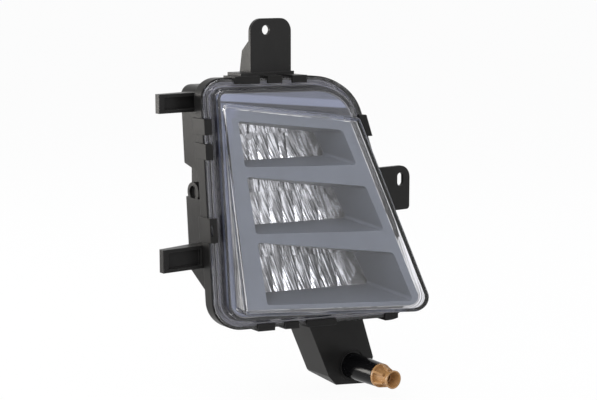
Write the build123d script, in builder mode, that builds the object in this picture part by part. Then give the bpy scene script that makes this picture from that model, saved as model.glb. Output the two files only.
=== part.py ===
"""Swept LED auxiliary driving light, held in a bumper by two ears and two side lugs.

The origin is the centre of the upper ear's hole, on the ear's rear face. X runs to the right as seen from
the front, Y to the rear and Z up, so the beam leaves along -Y. Lengths are millimetres, angles degrees.
"""

from build123d import *

import os
from math import cos, radians, sin, tan

os.makedirs("parts", exist_ok=True)

# Rim outline as seen from the front
RIM_TOP = -32.5
RIM_HEIGHT = 173.5
RIM_LEFT = -46.5
RIM_WIDTH = 102.5
RIM_LEFT_LEAN = 2.6
RIM_RIGHT_LEAN = 16.6
RIM_RADII = (13.0, 35.0, 18.0, 20.0)
RIM_SWEEP = 16.0
RIM_FORWARD = 9.0

# Lens
LENS_WALL = 2.4
LENS_FLANGE = 3.0
LENS_BAND = 4.6
LENS_GROOVE = 2.0
LENS_GROOVE_DEPTH = 1.6
SHELF_RISE = 5.0
WINDOW_TOP_INSET = 15.1
WINDOW_BOTTOM_INSET = 12.7
WINDOW_LEFT_INSET = 9.1
WINDOW_RIGHT_INSET = 14.2
WINDOW_LEFT_LEAN = 3.6
WINDOW_RIGHT_LEAN = 17.9
WINDOW_TOP_FALL = 7.8
WINDOW_RADII = (4.0, 3.0, 10.0, 5.0)
WINDOW_SWEEP = 28.0
WINDOW_RAKE = 3.0
WINDOW_FORWARD = 29.5
WINDOW_EDGE = 1.6
SHELF_EDGE = 1.2
TONGUE_INSET = 2.4
TONGUE_WALL = 2.0
TONGUE_DEPTH = 5.0
SEAL_DROP = 1.0

# Bezel and its three tapering recesses
BEZEL_WALL = 1.8
BEZEL_SIDE_GAP = 0.7
BEZEL_FACE_GAP = 3.8
BEZEL_FLANGE = 1.5
BEZEL_EDGE = 0.8
BANK_TOP_INSET = 12.7
BANK_BOTTOM_INSET = 6.6
BANK_LEFT_INSET = 11.8
BANK_RIGHT_INSET = 6.8
BANK_LEFT_LEAN = 6.2
BANK_RIGHT_LEAN = 18.9
BANK_TOP_FALL = 6.4
RECESS_NAMES = ("upper", "middle", "lower")
UPPER_RECESS_HEIGHT = 31.5
MIDDLE_RECESS_HEIGHT = 39.5
RECESS_GAPS = (6.2, 5.5)
RECESS_RADII = (1.2, 4.0, 1.2, 1.2)
RECESS_DRAFT = 8.0

# Reflectors, each a parabolic scoop below its emitters, with two tiers of flutes of uneven width and crown
REFLECTOR_SWEEP = 20.0
REFLECTOR_REAR = 1.5
REFLECTOR_GAP = 3.5
REFLECTOR_LAP = 2.2
REFLECTOR_WALL = 1.6
SCOOP_DEPTH = 14.0
SCOOP_LIP = 0.8
UPPER_FLUTES = 14
LOWER_FLUTES = 11
TIER_SHARE = 0.42
FLUTE_WIDTHS = (1.0, 0.7, 1.3, 0.8, 1.1)
FLUTE_CROWNS = (0.9, 0.5, 1.0, 0.6)
BOSS_DIAMETER = 7.0
BOSS_SPACING = 40.0
BOSS_RISE = 0.3
BOSS_STANDOFF = 0.4

# Emitter boards
BOARD_LENGTH = 34.0
BOARD_DEPTH = 10.0
BOARD_WALL = 1.2
PAD_WALL = 0.5
EMITTER_SIDE = 3.4
EMITTER_HEIGHT = 0.9
EMITTER_PITCH = 12.0
EMITTERS = 2
EMITTER_MARGIN = 2.5
ROOF_GAP = 0.4
BOARD_SETBACK = 1.5

# Carrier behind the reflectors
CARRIER_WALL = 3.0
CARRIER_INSET = 10.0
CARRIER_FOOT = 3.0
CARRIER_RADII = (4.0, 4.0, 4.0, 4.0)
SHELF_WALL = 2.4
FIN_WALL = 1.6
FIN_PITCH = 9.0
FIN_COUNT = 8
FIN_INSET = 19.6
FIN_REAR = 35.0
SCREW_DIAMETER = 3.0
SCREW_HEAD = 6.0
SCREW_HEAD_HEIGHT = 1.8
SCREW_GRIP = 5.0

# Tilt axis: pins in the carrier's beam turn in flanged bushes in the housing
PIVOT_REAR = 35.0
PIVOT_DROP = 80.5
BEAM_DIAMETER = 9.0
PIN_DIAMETER = 5.0
PIN_CLEARANCE = 0.05
PIN_GRIP = 8.0
BUSH_WALL = 2.0
BUSH_LENGTH = 5.6
BUSH_FLANGE = 1.2
BUSH_FLANGE_WALL = 1.2
PIVOT_BOSS_WALL = 2.6
PIVOT_END_WALL = 2.0
PIVOT_LEFT_PROUD = 1.5
PIVOT_RIGHT_PROUD = 7.0
PIVOT_RING = 2.4

# Housing
HOUSING_WALL = 2.6
RIM_LAND = 0.8
CHANNEL_WALL = 2.4
CHANNEL_WIDTH = 4.0
CHANNEL_DEPTH = 6.0
CHANNEL_FLOOR = 2.0
HOUSING_REAR = 46.0
HOUSING_REAR_EDGE = 4.0

# Side reliefs behind the rim: a notch round the pivot boss and a foot that slopes up to the rear
RELIEF_FRONT = 17.0
NOTCH_INSET = 16.0
NOTCH_ABOVE_FRONT = 13.0
NOTCH_ABOVE_REAR = 21.0
NOTCH_BELOW = 4.0
FOOT_RISE_FRONT = 20.0
FOOT_RISE_REAR = 40.0
FOOT_LEFT_INSET = 12.5
FOOT_WALL_INSET = 24.5
FOOT_RIGHT_INSET = 38.5
FOOT_REAR = 34.0

# Snap hooks over the lens flange: place along the edge and length
HOOK_GAP = 0.3
HOOK_LAP = 3.2
HOOK_OUT = 1.6
HOOK_LIP = 1.6
HOOK_REACH = 9.0
HOOK_CLEARANCE = 0.15
TOP_HOOKS = ((-17.6, 17.0), (1.4, 9.7), (18.6, 10.0))
RIGHT_HOOKS = ((-67.0, 15.0), (-143.0, 8.0))
BOTTOM_HOOKS = ((-4.9, 11.8), (13.3, 9.8), (34.4, 21.0), (86.0, 9.5))
LEFT_HOOKS = ((-64.0, 11.0), (-81.0, 11.0), (-135.0, 17.0))
LOOP_LENGTH = 8.0
LOOP_WIDTH = 2.0
LOOP_RADIUS = 0.6

# Upper ear and its pedestal
EAR_WALL = 2.5
EAR_TOP = 7.8
EAR_LEFT = -12.8
EAR_RIGHT = 20.8
EAR_RADIUS = 9.0
EAR_HOLE = 6.5
GUSSET_WALL = 2.2
GUSSET_TOP = -7.2
GUSSET_SHOULDER = (8.0, -14.0)
GUSSET_ROOT = 12.0
PEDESTAL_LEFT_REACH = 9.2
PEDESTAL_RIGHT_REACH = 1.2
PEDESTAL_TOP = -28.5
PEDESTAL_FRONT = -4.5
PEDESTAL_REAR = 12.0

# Side ear with its slot
SIDE_EAR_FORWARD = 28.0
SIDE_EAR_REACH = 33.2
SIDE_EAR_DROP = 65.5
SIDE_EAR_HEIGHT = 32.0
SIDE_EAR_RADII = (9.0, 2.5)
SLOT_INSET = 8.7
SLOT_DROP = 9.8
SLOT_WIDTH = 5.5
SLOT_HEIGHT = 9.6

# Side lugs
UPPER_LUG_REAR = 20.0
UPPER_LUG_REACH = 25.0
UPPER_LUG_DROP = 9.5
UPPER_LUG_HEIGHT = 13.0
LOWER_LUG_REAR = 15.0
LOWER_LUG_REACH = 26.5
LOWER_LUG_RISE = 59.0
LOWER_LUG_HEIGHT = 16.0
LUG_ROOT_INSET = 12.5
LUG_ROOT_DEPTH = 12.0
LUG_TIP_DEPTH = 5.0
LUG_WALL = 2.2
LUG_TIP_WALL = 4.0
LUG_POCKET = 3.0
LUG_POCKET_LENGTH = 26.0

# Adjuster box under the housing: outline from the adjuster's axis, clockwise from top left
ADJUSTER_OUT = 14.0
ADJUSTER_DROP = 38.5
GEARBOX_OUTLINE = ((-43.5, 45.5), (5.6, 45.5), (19.7, 3.2), (12.3, -15.4), (-14.5, -12.3), (-20.9, -5.3))
GEARBOX_FRONT = -10.0
GEARBOX_DEPTH = 27.0
GEARBOX_WALL = 2.4
GEARBOX_FLOOR_RISE = 10.0
CHAMBER_DROP = 5.0
THROAT_LEFT = -19.0
THROAT_WIDTH = 20.5
THROAT_DEPTH = 14.0

# Adjuster, its bush and its nut
TUBE_LENGTH = 32.0
TUBE_ROOT = 19.0
TUBE_TIP = 17.2
TUBE_SPIGOT = 14.0
TUBE_SEAT = 23.0
TUBE_SEAT_DEPTH = 0.8
SHANK_DIAMETER = 9.6
SHANK_CLEARANCE = 0.05
SHANK_END = -5.0
RETAINER_WALL = 1.4
RETAINER_DIAMETER = 13.0
RETAINER_GROOVE = 7.6
SPINDLE_DIAMETER = 7.0
SPINDLE_END = 13.6
RUNNING_GAP = 0.3
KNOB_FLANGE = 1.6
KNOB_LENGTH = 15.2
KNOB_CORE = 13.0
KNOB_NECK = 9.4
KNOB_NECK_LENGTH = 9.6
KNOB_MOUTH = 13.2
KNOB_LIP = 1.2
KNOB_RIBS = 6
KNOB_RIB_WALL = 1.6
FUNNEL_DEPTH = 7.0
FUNNEL_MOUTH = 11.4
FUNNEL_THROAT = 6.6
DRIVE_ACROSS = 5.0
DRIVE_DEPTH = 5.0
O_RING_SECTION = 1.8
NUT_REAR = 4.0
NUT_WIDTH = 12.0
NUT_DEPTH = 7.0
NUT_HEIGHT = 12.0
NUT_CLEARANCE = 0.08
TRUNNION_DIAMETER = 4.0
TRUNNION_LENGTH = 4.0

# Lever and fork that carry the nut's travel to the carrier, measured from the adjuster's axis
LEVER_WALL = 4.0
LEVER_LEFT = -20.0
LEVER_WIDTH = 15.0
LEVER_LAP = 6.0
LEVER_NECK_LEFT = -13.0
LEVER_NECK_WIDTH = 12.0
LEVER_NECK_RISE = 26.5
FORK_RISE = 15.5
FORK_BRIDGE = 5.0
FORK_REACH = 4.0
FORK_WALL = 3.0
FORK_CHEEK = 1.9
FORK_CLEARANCE = 0.25
FORK_SIDE_GAP = 0.4
FORK_HEADROOM = 1.6

# Rear cover with the driver board and the plug socket
COVER_INSET = 70.5
COVER_DROP = 7.0
COVER_WIDTH = 66.0
COVER_HEIGHT = 56.0
COVER_RADIUS = 6.0
COVER_WALL = 2.4
COVER_DEPTH = 10.0
COVER_FLANGE = 8.0
COVER_FLANGE_WALL = 3.0
COVER_EDGE = 1.6
GASKET_WALL = 1.2
GASKET_WIDTH = 2.0
GASKET_INSET = 1.0
COVER_SCREW = 3.5
COVER_SCREW_HEAD = 6.4
COVER_SCREW_HEAD_HEIGHT = 2.2
COVER_SCREW_GRIP = 8.0
COVER_SCREW_INSET = 4.2
COVER_BOSS_WALL = 2.4
DRIVER_MARGIN = 1.0
DRIVER_WALL = 1.6
DRIVER_STANDOFF = 3.0
STANDOFF_DIAMETER = 5.0
STANDOFF_INSET = 4.0
COMPONENT_HEIGHT = 2.2
COMPONENTS = (
    (-13.0, -8.0, 9.0, 9.0),
    (2.0, -8.0, 6.0, 10.0),
    (14.0, -9.0, 8.0, 5.0),
    (-12.0, 5.0, 12.0, 5.0),
)
SOCKET_WIDTH = 24.0
SOCKET_HEIGHT = 15.0
SOCKET_DEPTH = 18.0
SOCKET_WALL = 1.8
SOCKET_RADIUS = 3.0
SOCKET_DROP = 9.0
PIN_PITCH = 5.0
PIN_COUNT = 4
PIN_SIDE = 1.4
PIN_REACH = 9.0

# Breather
BREATHER_INSET = 80.5
BREATHER_DROP = 33.5
BREATHER_STUB = 9.0
BREATHER_STUB_LENGTH = 8.0
BREATHER_BORE = 5.0
BREATHER_CAP = 15.0
BREATHER_CAP_WALL = 1.8
BREATHER_GAP = 2.0

# Shared clearance, smallest corner radius, how far cuts run past a face, and the reach of trimming bars
SEAT_CLEARANCE = 0.1
MIN_RADIUS = 2.0
OVERRUN = 1.0
REACH = 300.0


def leaning_quad(left, width, top, height, left_lean, right_lean, top_fall=0.0):
    """Corners in X and Z, clockwise from top left, of a quad with leaning sides and a falling top edge."""
    fall = tan(radians(top_fall))
    lean = tan(radians(right_lean))
    right = left + width
    right_x = (right - left * fall * lean) / (1 - fall * lean)
    bottom = top - height
    return [
        (left, top),
        (right_x, top - (right_x - left) * fall),
        (right + height * lean, bottom),
        (left + height * tan(radians(left_lean)), bottom),
    ]


def grown(corners, distance):
    """The quad with each side moved outward by distance."""
    lines = []
    for (x0, z0), (x1, z1) in zip(corners, corners[1:] + corners[:1]):
        along = Vector(x1 - x0, z1 - z0).normalized()
        lines.append((Vector(x0, z0) + Vector(-along.Y, along.X) * distance, along))
    moved = []
    for (p, d), (q, e) in zip(lines[-1:] + lines[:-1], lines):
        step = ((q.X - p.X) * e.Y - (q.Y - p.Y) * e.X) / (d.X * e.Y - d.Y * e.X)
        moved.append((p.X + d.X * step, p.Y + d.Y * step))
    return moved


def swept_plane(sweep, forward, rake=0.0, level=0.0):
    """Upright plane that faces the front, turned by sweep and leaned back by rake at the given level."""
    turn = radians(sweep)
    lean = radians(rake)
    return Plane(
        origin=(0, -forward, level),
        x_dir=(cos(turn), -sin(turn), 0),
        z_dir=(-sin(turn) * cos(lean), -cos(turn) * cos(lean), sin(lean)),
    )


def depth_at(plane, x, z):
    """Y of the plane's point that is seen at (x, z) from the front."""
    facing = plane.z_dir
    origin = plane.origin
    return origin.Y - (facing.X * (x - origin.X) + facing.Z * (z - origin.Z)) / facing.Y


def on_plane(plane, x, z):
    """The plane's own coordinates of the point that is seen at (x, z) from the front."""
    local = plane.to_local_coords(Vector(x, depth_at(plane, x, z), z))
    return (local.X, local.Y)


def softened(radii, growth):
    """Corner radii after the outline has grown."""
    return [max(radius + growth, MIN_RADIUS) for radius in radii]


def drawn(corners, radii, growth, back, front, edge=0.0):
    """The rounded outline, grown, drawn along Y between two planes, with its front edge rounded."""
    with BuildPart(mode=Mode.PRIVATE) as bar:
        with BuildSketch(Plane.XZ.offset(-REACH)):
            with BuildLine():
                FilletPolyline(*grown(corners, growth), radius=softened(radii, growth), close=True)
            make_face()
        extrude(amount=2 * REACH)
        split(bisect_by=back, keep=Keep.TOP)
        split(bisect_by=front, keep=Keep.BOTTOM)
        if edge:
            front_face = bar.faces().sort_by(Axis(front.origin, front.z_dir))[-1]
            fillet(front_face.edges(), edge)
    return bar.part


def face_on(plane, corners, radii):
    """Rounded face on a plane, its corners given as seen from the front."""
    with BuildSketch(plane, mode=Mode.PRIVATE) as face:
        with BuildLine():
            FilletPolyline(*[on_plane(plane, x, z) for x, z in corners], radius=radii, close=True)
        make_face()
    return face.sketch


# Places that follow from the rim
rim_right = RIM_LEFT + RIM_WIDTH
rim_bottom = RIM_TOP - RIM_HEIGHT
window_left = RIM_LEFT + WINDOW_LEFT_INSET
window_width = RIM_WIDTH - WINDOW_LEFT_INSET - WINDOW_RIGHT_INSET
window_top = RIM_TOP - WINDOW_TOP_INSET
window_height = RIM_HEIGHT - WINDOW_TOP_INSET - WINDOW_BOTTOM_INSET
bank_left = window_left + BANK_LEFT_INSET
bank_width = window_width - BANK_LEFT_INSET - BANK_RIGHT_INSET
bank_top = window_top - BANK_TOP_INSET
bank_height = window_height - BANK_TOP_INSET - BANK_BOTTOM_INSET
pivot_level = RIM_TOP - PIVOT_DROP
adjuster_x = rim_right + ADJUSTER_OUT
adjuster_z = rim_bottom - ADJUSTER_DROP

# Planes that the moulding follows
rim_front = swept_plane(RIM_SWEEP, RIM_FORWARD)
seat = rim_front.offset(-LENS_FLANGE)
shelf = rim_front.offset(SHELF_RISE)
window_level = window_top - window_height / 2
window_front = swept_plane(WINDOW_SWEEP, WINDOW_FORWARD, WINDOW_RAKE, window_level)
bezel_front = window_front.offset(-LENS_WALL - BEZEL_FACE_GAP)
reflector_plane = swept_plane(REFLECTOR_SWEEP, -REFLECTOR_REAR)
housing_rear = Plane(origin=(0, HOUSING_REAR, 0), x_dir=(1, 0, 0), z_dir=(0, -1, 0))
housing_floor = housing_rear.offset(HOUSING_WALL)

# Outlines
rim = leaning_quad(RIM_LEFT, RIM_WIDTH, RIM_TOP, RIM_HEIGHT, RIM_LEFT_LEAN, RIM_RIGHT_LEAN)
window = leaning_quad(
    window_left, window_width, window_top, window_height, WINDOW_LEFT_LEAN, WINDOW_RIGHT_LEAN, WINDOW_TOP_FALL
)
middle_drop = UPPER_RECESS_HEIGHT + RECESS_GAPS[0]
lower_drop = middle_drop + MIDDLE_RECESS_HEIGHT + RECESS_GAPS[1]
recess_drops = (0, middle_drop, lower_drop)
recess_heights = (UPPER_RECESS_HEIGHT, MIDDLE_RECESS_HEIGHT, bank_height - lower_drop)
recesses = []
for drop, height in zip(recess_drops, recess_heights):
    shift_left = drop * tan(radians(BANK_LEFT_LEAN))
    shift_right = drop * tan(radians(BANK_RIGHT_LEAN))
    recesses.append(
        leaning_quad(
            bank_left + shift_left,
            bank_width + shift_right - shift_left,
            bank_top - drop,
            height,
            BANK_LEFT_LEAN,
            BANK_RIGHT_LEAN,
            BANK_TOP_FALL,
        )
    )


def drafted(corners):
    """Corners of a recess where it reaches the reflector, drawn in by the draft."""
    inward = ((1, -1), (-1, -1), (-1, 1), (1, 1))
    tapered = []
    for (x, z), (to_x, to_z) in zip(corners, inward):
        run = depth_at(reflector_plane, x, z) - depth_at(bezel_front, x, z)
        step = run * tan(radians(RECESS_DRAFT))
        tapered.append((x + to_x * step, z + to_z * step))
    return tapered


# Insets from the rim outline to each wall
skirt_inset = LENS_BAND + LENS_GROOVE
bezel_inset = LENS_WALL + BEZEL_SIDE_GAP
channel_outer = CHANNEL_WALL - RIM_LAND
channel_inner = channel_outer + CHANNEL_WIDTH
cavity_inset = channel_inner + HOUSING_WALL

# Outer lens: flange, skirt, shelf and swept window, with a tongue for the glue channel
flange_bar = drawn(rim, RIM_RADII, 0, seat, rim_front)
skirt_bar = drawn(rim, RIM_RADII, -skirt_inset, seat, shelf, SHELF_EDGE)
window_bar = drawn(window, WINDOW_RADII, 0, seat, window_front, WINDOW_EDGE)
lens_base = seat.offset(-OVERRUN)
skirt_hollow = drawn(rim, RIM_RADII, -skirt_inset - LENS_WALL, lens_base, shelf.offset(-LENS_WALL))
window_hollow = drawn(window, WINDOW_RADII, -LENS_WALL, lens_base, window_front.offset(-LENS_WALL))
groove_outer = drawn(rim, RIM_RADII, -LENS_BAND, rim_front.offset(-LENS_GROOVE_DEPTH), rim_front)
groove_core = drawn(rim, RIM_RADII, -skirt_inset, rim_front.offset(-LENS_FLANGE), rim_front.offset(OVERRUN))
tongue_outer = drawn(rim, RIM_RADII, -TONGUE_INSET, seat.offset(-TONGUE_DEPTH), seat)
tongue_core = drawn(
    rim, RIM_RADII, -TONGUE_INSET - TONGUE_WALL, seat.offset(-TONGUE_DEPTH - OVERRUN), seat.offset(OVERRUN)
)
lens_groove = groove_outer - groove_core
lens_tongue = tongue_outer - tongue_core

with BuildPart() as outer_lens:
    add(skirt_bar)
    add(window_bar)
    add(flange_bar)
    add(lens_groove, mode=Mode.SUBTRACT)
    add(skirt_hollow, mode=Mode.SUBTRACT)
    add(window_hollow, mode=Mode.SUBTRACT)
    add(lens_tongue)
outer_lens.part.label = "outer_lens"
export_step(outer_lens.part, "parts/outer_lens.step")

seal_ring = drawn(
    rim, RIM_RADII, -channel_outer - SEAT_CLEARANCE, seat.offset(-CHANNEL_DEPTH), seat.offset(-SEAL_DROP)
)
seal_core = drawn(
    rim, RIM_RADII, -channel_inner + SEAT_CLEARANCE, seat.offset(-CHANNEL_DEPTH - OVERRUN), seat
)
tongue_room = drawn(
    rim,
    RIM_RADII,
    -TONGUE_INSET + SEAT_CLEARANCE,
    seat.offset(-TONGUE_DEPTH - SEAT_CLEARANCE),
    seat.offset(OVERRUN),
)
tongue_room_core = drawn(
    rim,
    RIM_RADII,
    -TONGUE_INSET - TONGUE_WALL - SEAT_CLEARANCE,
    seat.offset(-CHANNEL_DEPTH),
    seat.offset(2 * OVERRUN),
)
tongue_slot = tongue_room - tongue_room_core

with BuildPart() as lens_sealant:
    add(seal_ring)
    add(seal_core, mode=Mode.SUBTRACT)
    add(tongue_slot, mode=Mode.SUBTRACT)
lens_sealant.part.label = "lens_sealant"
export_step(lens_sealant.part, "parts/lens_sealant.step")

# Bezel: a skirted cover under the lens with a tapering recess for each reflector
bezel_base = seat.offset(-BEZEL_FLANGE)
bezel_flange = drawn(rim, RIM_RADII, -channel_inner, bezel_base, seat)
bezel_skirt = drawn(rim, RIM_RADII, -skirt_inset - bezel_inset, bezel_base, shelf.offset(-bezel_inset))
bezel_raise = drawn(window, WINDOW_RADII, -bezel_inset, bezel_base, bezel_front, BEZEL_EDGE)
bezel_skirt_hollow = drawn(
    rim,
    RIM_RADII,
    -skirt_inset - bezel_inset - BEZEL_WALL,
    bezel_base.offset(-OVERRUN),
    shelf.offset(-bezel_inset - BEZEL_WALL),
)
bezel_raise_hollow = drawn(
    window,
    WINDOW_RADII,
    -bezel_inset - BEZEL_WALL,
    bezel_base.offset(-OVERRUN),
    bezel_front.offset(-BEZEL_WALL),
)


def recess_cone(corners, growth, front, rear):
    """Tapering recess between two planes, grown by a wall."""
    radii = softened(RECESS_RADII, growth)
    near = face_on(front, grown(corners, growth), radii)
    far = face_on(rear, grown(drafted(corners), growth), radii)
    with BuildPart(mode=Mode.PRIVATE) as cone:
        loft(sections=[near, far], ruled=True)
    return cone.part


recess_root = bezel_front.offset(-BEZEL_WALL / 2)
cut_front = bezel_front.offset(OVERRUN)
cut_rear = reflector_plane.offset(-OVERRUN)
recess_walls = [recess_cone(corners, BEZEL_WALL, recess_root, reflector_plane) for corners in recesses]
recess_cuts = [recess_cone(corners, 0, cut_front, cut_rear) for corners in recesses]

with BuildPart() as bezel:
    add(bezel_skirt)
    add(bezel_raise)
    add(bezel_flange)
    add(bezel_skirt_hollow, mode=Mode.SUBTRACT)
    add(bezel_raise_hollow, mode=Mode.SUBTRACT)
    add(recess_walls)
    add(recess_cuts, mode=Mode.SUBTRACT)
bezel.part.label = "bezel"
export_step(bezel.part, "parts/bezel.step")

# Reflector bank, set out along its own swept plane: along it, back from it and up
bank_along = reflector_plane.x_dir
bank_back = -reflector_plane.z_dir
scoop_front = REFLECTOR_GAP
scoop_back = scoop_front + SCOOP_DEPTH
board_front = scoop_front + BOARD_SETBACK
board_back = board_front + BOARD_DEPTH
board_middle_back = (board_front + board_back) / 2
emitter_row = EMITTER_PITCH * (EMITTERS - 1) + EMITTER_SIDE
carrier_front = scoop_back + REFLECTOR_WALL + BOSS_STANDOFF
bank_scale = 1 / cos(radians(REFLECTOR_SWEEP))


def bank_side(along):
    """Plane across the bank at a distance along it, drawn as distance back and height."""
    return Plane(origin=reflector_plane.origin + bank_along * along, x_dir=bank_back, z_dir=bank_along)


def bank_level(height):
    """Level plane through the bank, drawn as distance along and back."""
    return Plane(origin=reflector_plane.origin + Vector(0, 0, height), x_dir=bank_along, z_dir=(0, 0, 1))


def bank_bar(along, length, front, back, bottom, height):
    """A bar that runs along the bank."""
    with BuildPart(mode=Mode.PRIVATE) as bar:
        with BuildSketch(bank_side(along)):
            with Locations(((front + back) / 2, bottom + height / 2)):
                Rectangle(back - front, height)
        extrude(amount=length)
    return bar.part


def scoop_line(top, bottom):
    """Adds the parabola that a scoop follows, from its top at the back to its lip at the front."""
    middle = (top + bottom) / 2
    return Bezier((scoop_back, top), (scoop_back, middle), (scoop_front + SCOOP_LIP, bottom))


def fluted_band(start, end, top, bottom, flutes):
    """Fluted shell of a scoop, wider and taller than its reflector."""
    shares = [FLUTE_WIDTHS[flute % len(FLUTE_WIDTHS)] for flute in range(flutes)]
    edges = [start + (end - start) * sum(shares[:flute]) / sum(shares) for flute in range(flutes + 1)]
    with BuildPart(mode=Mode.PRIVATE) as band:
        with BuildLine(bank_side(0)) as track:
            scoop_line(top, bottom)
        with BuildSketch(bank_level(top)):
            with BuildLine():
                for flute, (left, right) in enumerate(zip(edges, edges[1:])):
                    rise = FLUTE_CROWNS[flute % len(FLUTE_CROWNS)] * shares[flute]
                    crown = ((left + right) / 2, scoop_back - rise)
                    ThreePointArc((left, scoop_back), crown, (right, scoop_back))
                Polyline(
                    (end, scoop_back),
                    (end, scoop_back + REFLECTOR_WALL),
                    (start, scoop_back + REFLECTOR_WALL),
                    (start, scoop_back),
                )
            make_face()
        sweep(path=track.line)
    return band.part


def scoop_fill(start, end, top, bottom):
    """The space in front of a scoop."""
    with BuildPart(mode=Mode.PRIVATE) as fill:
        with BuildSketch(bank_side(start)):
            with BuildLine():
                scoop_line(top, bottom)
                Polyline(
                    (scoop_front + SCOOP_LIP, bottom),
                    (-OVERRUN, bottom),
                    (-OVERRUN, top),
                    (scoop_back, top),
                )
            make_face()
        extrude(amount=end - start)
    return fill.part


# Each reflector's opening, roof and board place follow from its recess
reflector_bottoms = []
shelf_tops = []
board_starts = []
board_bottoms = []
screw_places = []
reflector_mouth = reflector_plane.offset(-scoop_front)
reflector_limit = reflector_plane.offset(-carrier_front)

for name, corners in zip(RECESS_NAMES, recesses):
    opening = drafted(corners)
    inner = grown(opening, REFLECTOR_LAP)
    outer = grown(opening, REFLECTOR_LAP + REFLECTOR_WALL)
    start = (min(x for x, z in outer) - OVERRUN) * bank_scale
    end = (max(x for x, z in outer) + OVERRUN) * bank_scale
    top = max(z for x, z in outer) + OVERRUN
    bottom = min(z for x, z in outer) - OVERRUN
    (roof_left, roof_high), (roof_right, roof_low) = inner[:2]
    board_start = (roof_left + roof_right) / 2 * bank_scale - BOARD_LENGTH / 2
    roof_fall = (roof_high - roof_low) / (roof_right - roof_left)
    roof_at_board = roof_high - (board_start / bank_scale - roof_left) * roof_fall
    board_bottom = roof_at_board + REFLECTOR_WALL + ROOF_GAP
    board_middle = board_start + BOARD_LENGTH / 2
    boss_level = bottom + (top - bottom) * BOSS_RISE
    boss_middle = (inner[2][0] + inner[3][0]) / 2 * bank_scale
    bosses = [(boss_middle - BOSS_SPACING / 2, boss_level), (boss_middle + BOSS_SPACING / 2, boss_level)]
    reflector_bottoms.append(bottom + OVERRUN)
    shelf_tops.append(board_bottom + BOARD_WALL + PAD_WALL + SHELF_WALL)
    board_starts.append(board_start)
    board_bottoms.append(board_bottom)
    screw_places.extend(bosses)
    tier = Plane.XY.offset(top - (top - bottom) * TIER_SHARE)
    upper_band = fluted_band(start, end, top, bottom, UPPER_FLUTES)
    lower_band = fluted_band(start, end, top, bottom, LOWER_FLUTES)
    fill = scoop_fill(start, end, top, bottom)
    outer_bar = drawn(outer, RECESS_RADII, 0, reflector_limit, reflector_mouth)
    inner_bar = drawn(inner, RECESS_RADII, 0, reflector_limit, reflector_mouth.offset(OVERRUN))
    cheeks = (outer_bar - inner_bar) & fill
    with BuildPart(mode=Mode.PRIVATE) as boss_bars:
        with BuildSketch(reflector_limit):
            with Locations(*bosses):
                Circle(BOSS_DIAMETER / 2)
        extrude(amount=SCOOP_DEPTH)
        add(fill, mode=Mode.SUBTRACT)
    with BuildPart() as reflector:
        add(split(upper_band, bisect_by=tier, keep=Keep.TOP, mode=Mode.PRIVATE))
        add(split(lower_band, bisect_by=tier, keep=Keep.BOTTOM, mode=Mode.PRIVATE))
        add(outer_bar, mode=Mode.INTERSECT)
        add(cheeks)
        add(boss_bars.part)
        with BuildSketch(bank_level(roof_high + REFLECTOR_WALL + OVERRUN)):
            with Locations((board_middle, board_middle_back)):
                Rectangle(emitter_row + 2 * EMITTER_MARGIN, EMITTER_SIDE + 2 * EMITTER_MARGIN)
        extrude(amount=roof_low - roof_high - 2 * (REFLECTOR_WALL + OVERRUN), mode=Mode.SUBTRACT)
        with BuildSketch(reflector_limit):
            with Locations(*bosses):
                Circle(SCREW_DIAMETER / 2 + SEAT_CLEARANCE)
        extrude(amount=SCREW_GRIP + SEAT_CLEARANCE, mode=Mode.SUBTRACT)
    reflector.part.label = f"reflector_{name}"
    export_step(reflector.part, f"parts/reflector_{name}.step")

    with BuildPart() as led_board:
        add(bank_bar(board_start, BOARD_LENGTH, board_front, board_back, board_bottom, BOARD_WALL))
    led_board.part.label = f"led_board_{name}"
    export_step(led_board.part, f"parts/led_board_{name}.step")

    with BuildPart() as thermal_pad:
        add(bank_bar(board_start, BOARD_LENGTH, board_front, board_back, board_bottom + BOARD_WALL, PAD_WALL))
    thermal_pad.part.label = f"thermal_pad_{name}"
    export_step(thermal_pad.part, f"parts/thermal_pad_{name}.step")

    with BuildPart() as leds:
        with BuildSketch(bank_level(board_bottom)):
            with Locations((board_middle, board_middle_back)):
                with GridLocations(EMITTER_PITCH, 1, EMITTERS, 1):
                    Rectangle(EMITTER_SIDE, EMITTER_SIDE)
        extrude(amount=-EMITTER_HEIGHT)
    leds.part.label = f"leds_{name}"
    export_step(leds.part, f"parts/leds_{name}.step")

# Tilt axis, between the boss on the notch's wall and the one on the right wall
notch_x = RIM_LEFT + NOTCH_INSET
right_lean = radians(RIM_RIGHT_LEAN)
right_at_pivot = rim_right + PIVOT_DROP * tan(right_lean)
pivot_left = notch_x + HOUSING_WALL + PIVOT_LEFT_PROUD
pivot_right = right_at_pivot - cavity_inset / cos(right_lean) - PIVOT_RIGHT_PROUD
beam_left = pivot_left + BUSH_FLANGE_WALL + RUNNING_GAP
beam_right = pivot_right - BUSH_FLANGE_WALL - RUNNING_GAP
bush_diameter = PIN_DIAMETER + 2 * PIN_CLEARANCE + 2 * BUSH_WALL


def pivot_bar(x, diameter, length):
    """Round bar on the tilt axis that starts at x and runs to the right."""
    with BuildPart(mode=Mode.PRIVATE) as bar:
        with BuildSketch(Plane(origin=(x, PIVOT_REAR, pivot_level), x_dir=(0, 1, 0), z_dir=(1, 0, 0))):
            Circle(diameter / 2)
        extrude(amount=length)
    return bar.part


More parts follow.
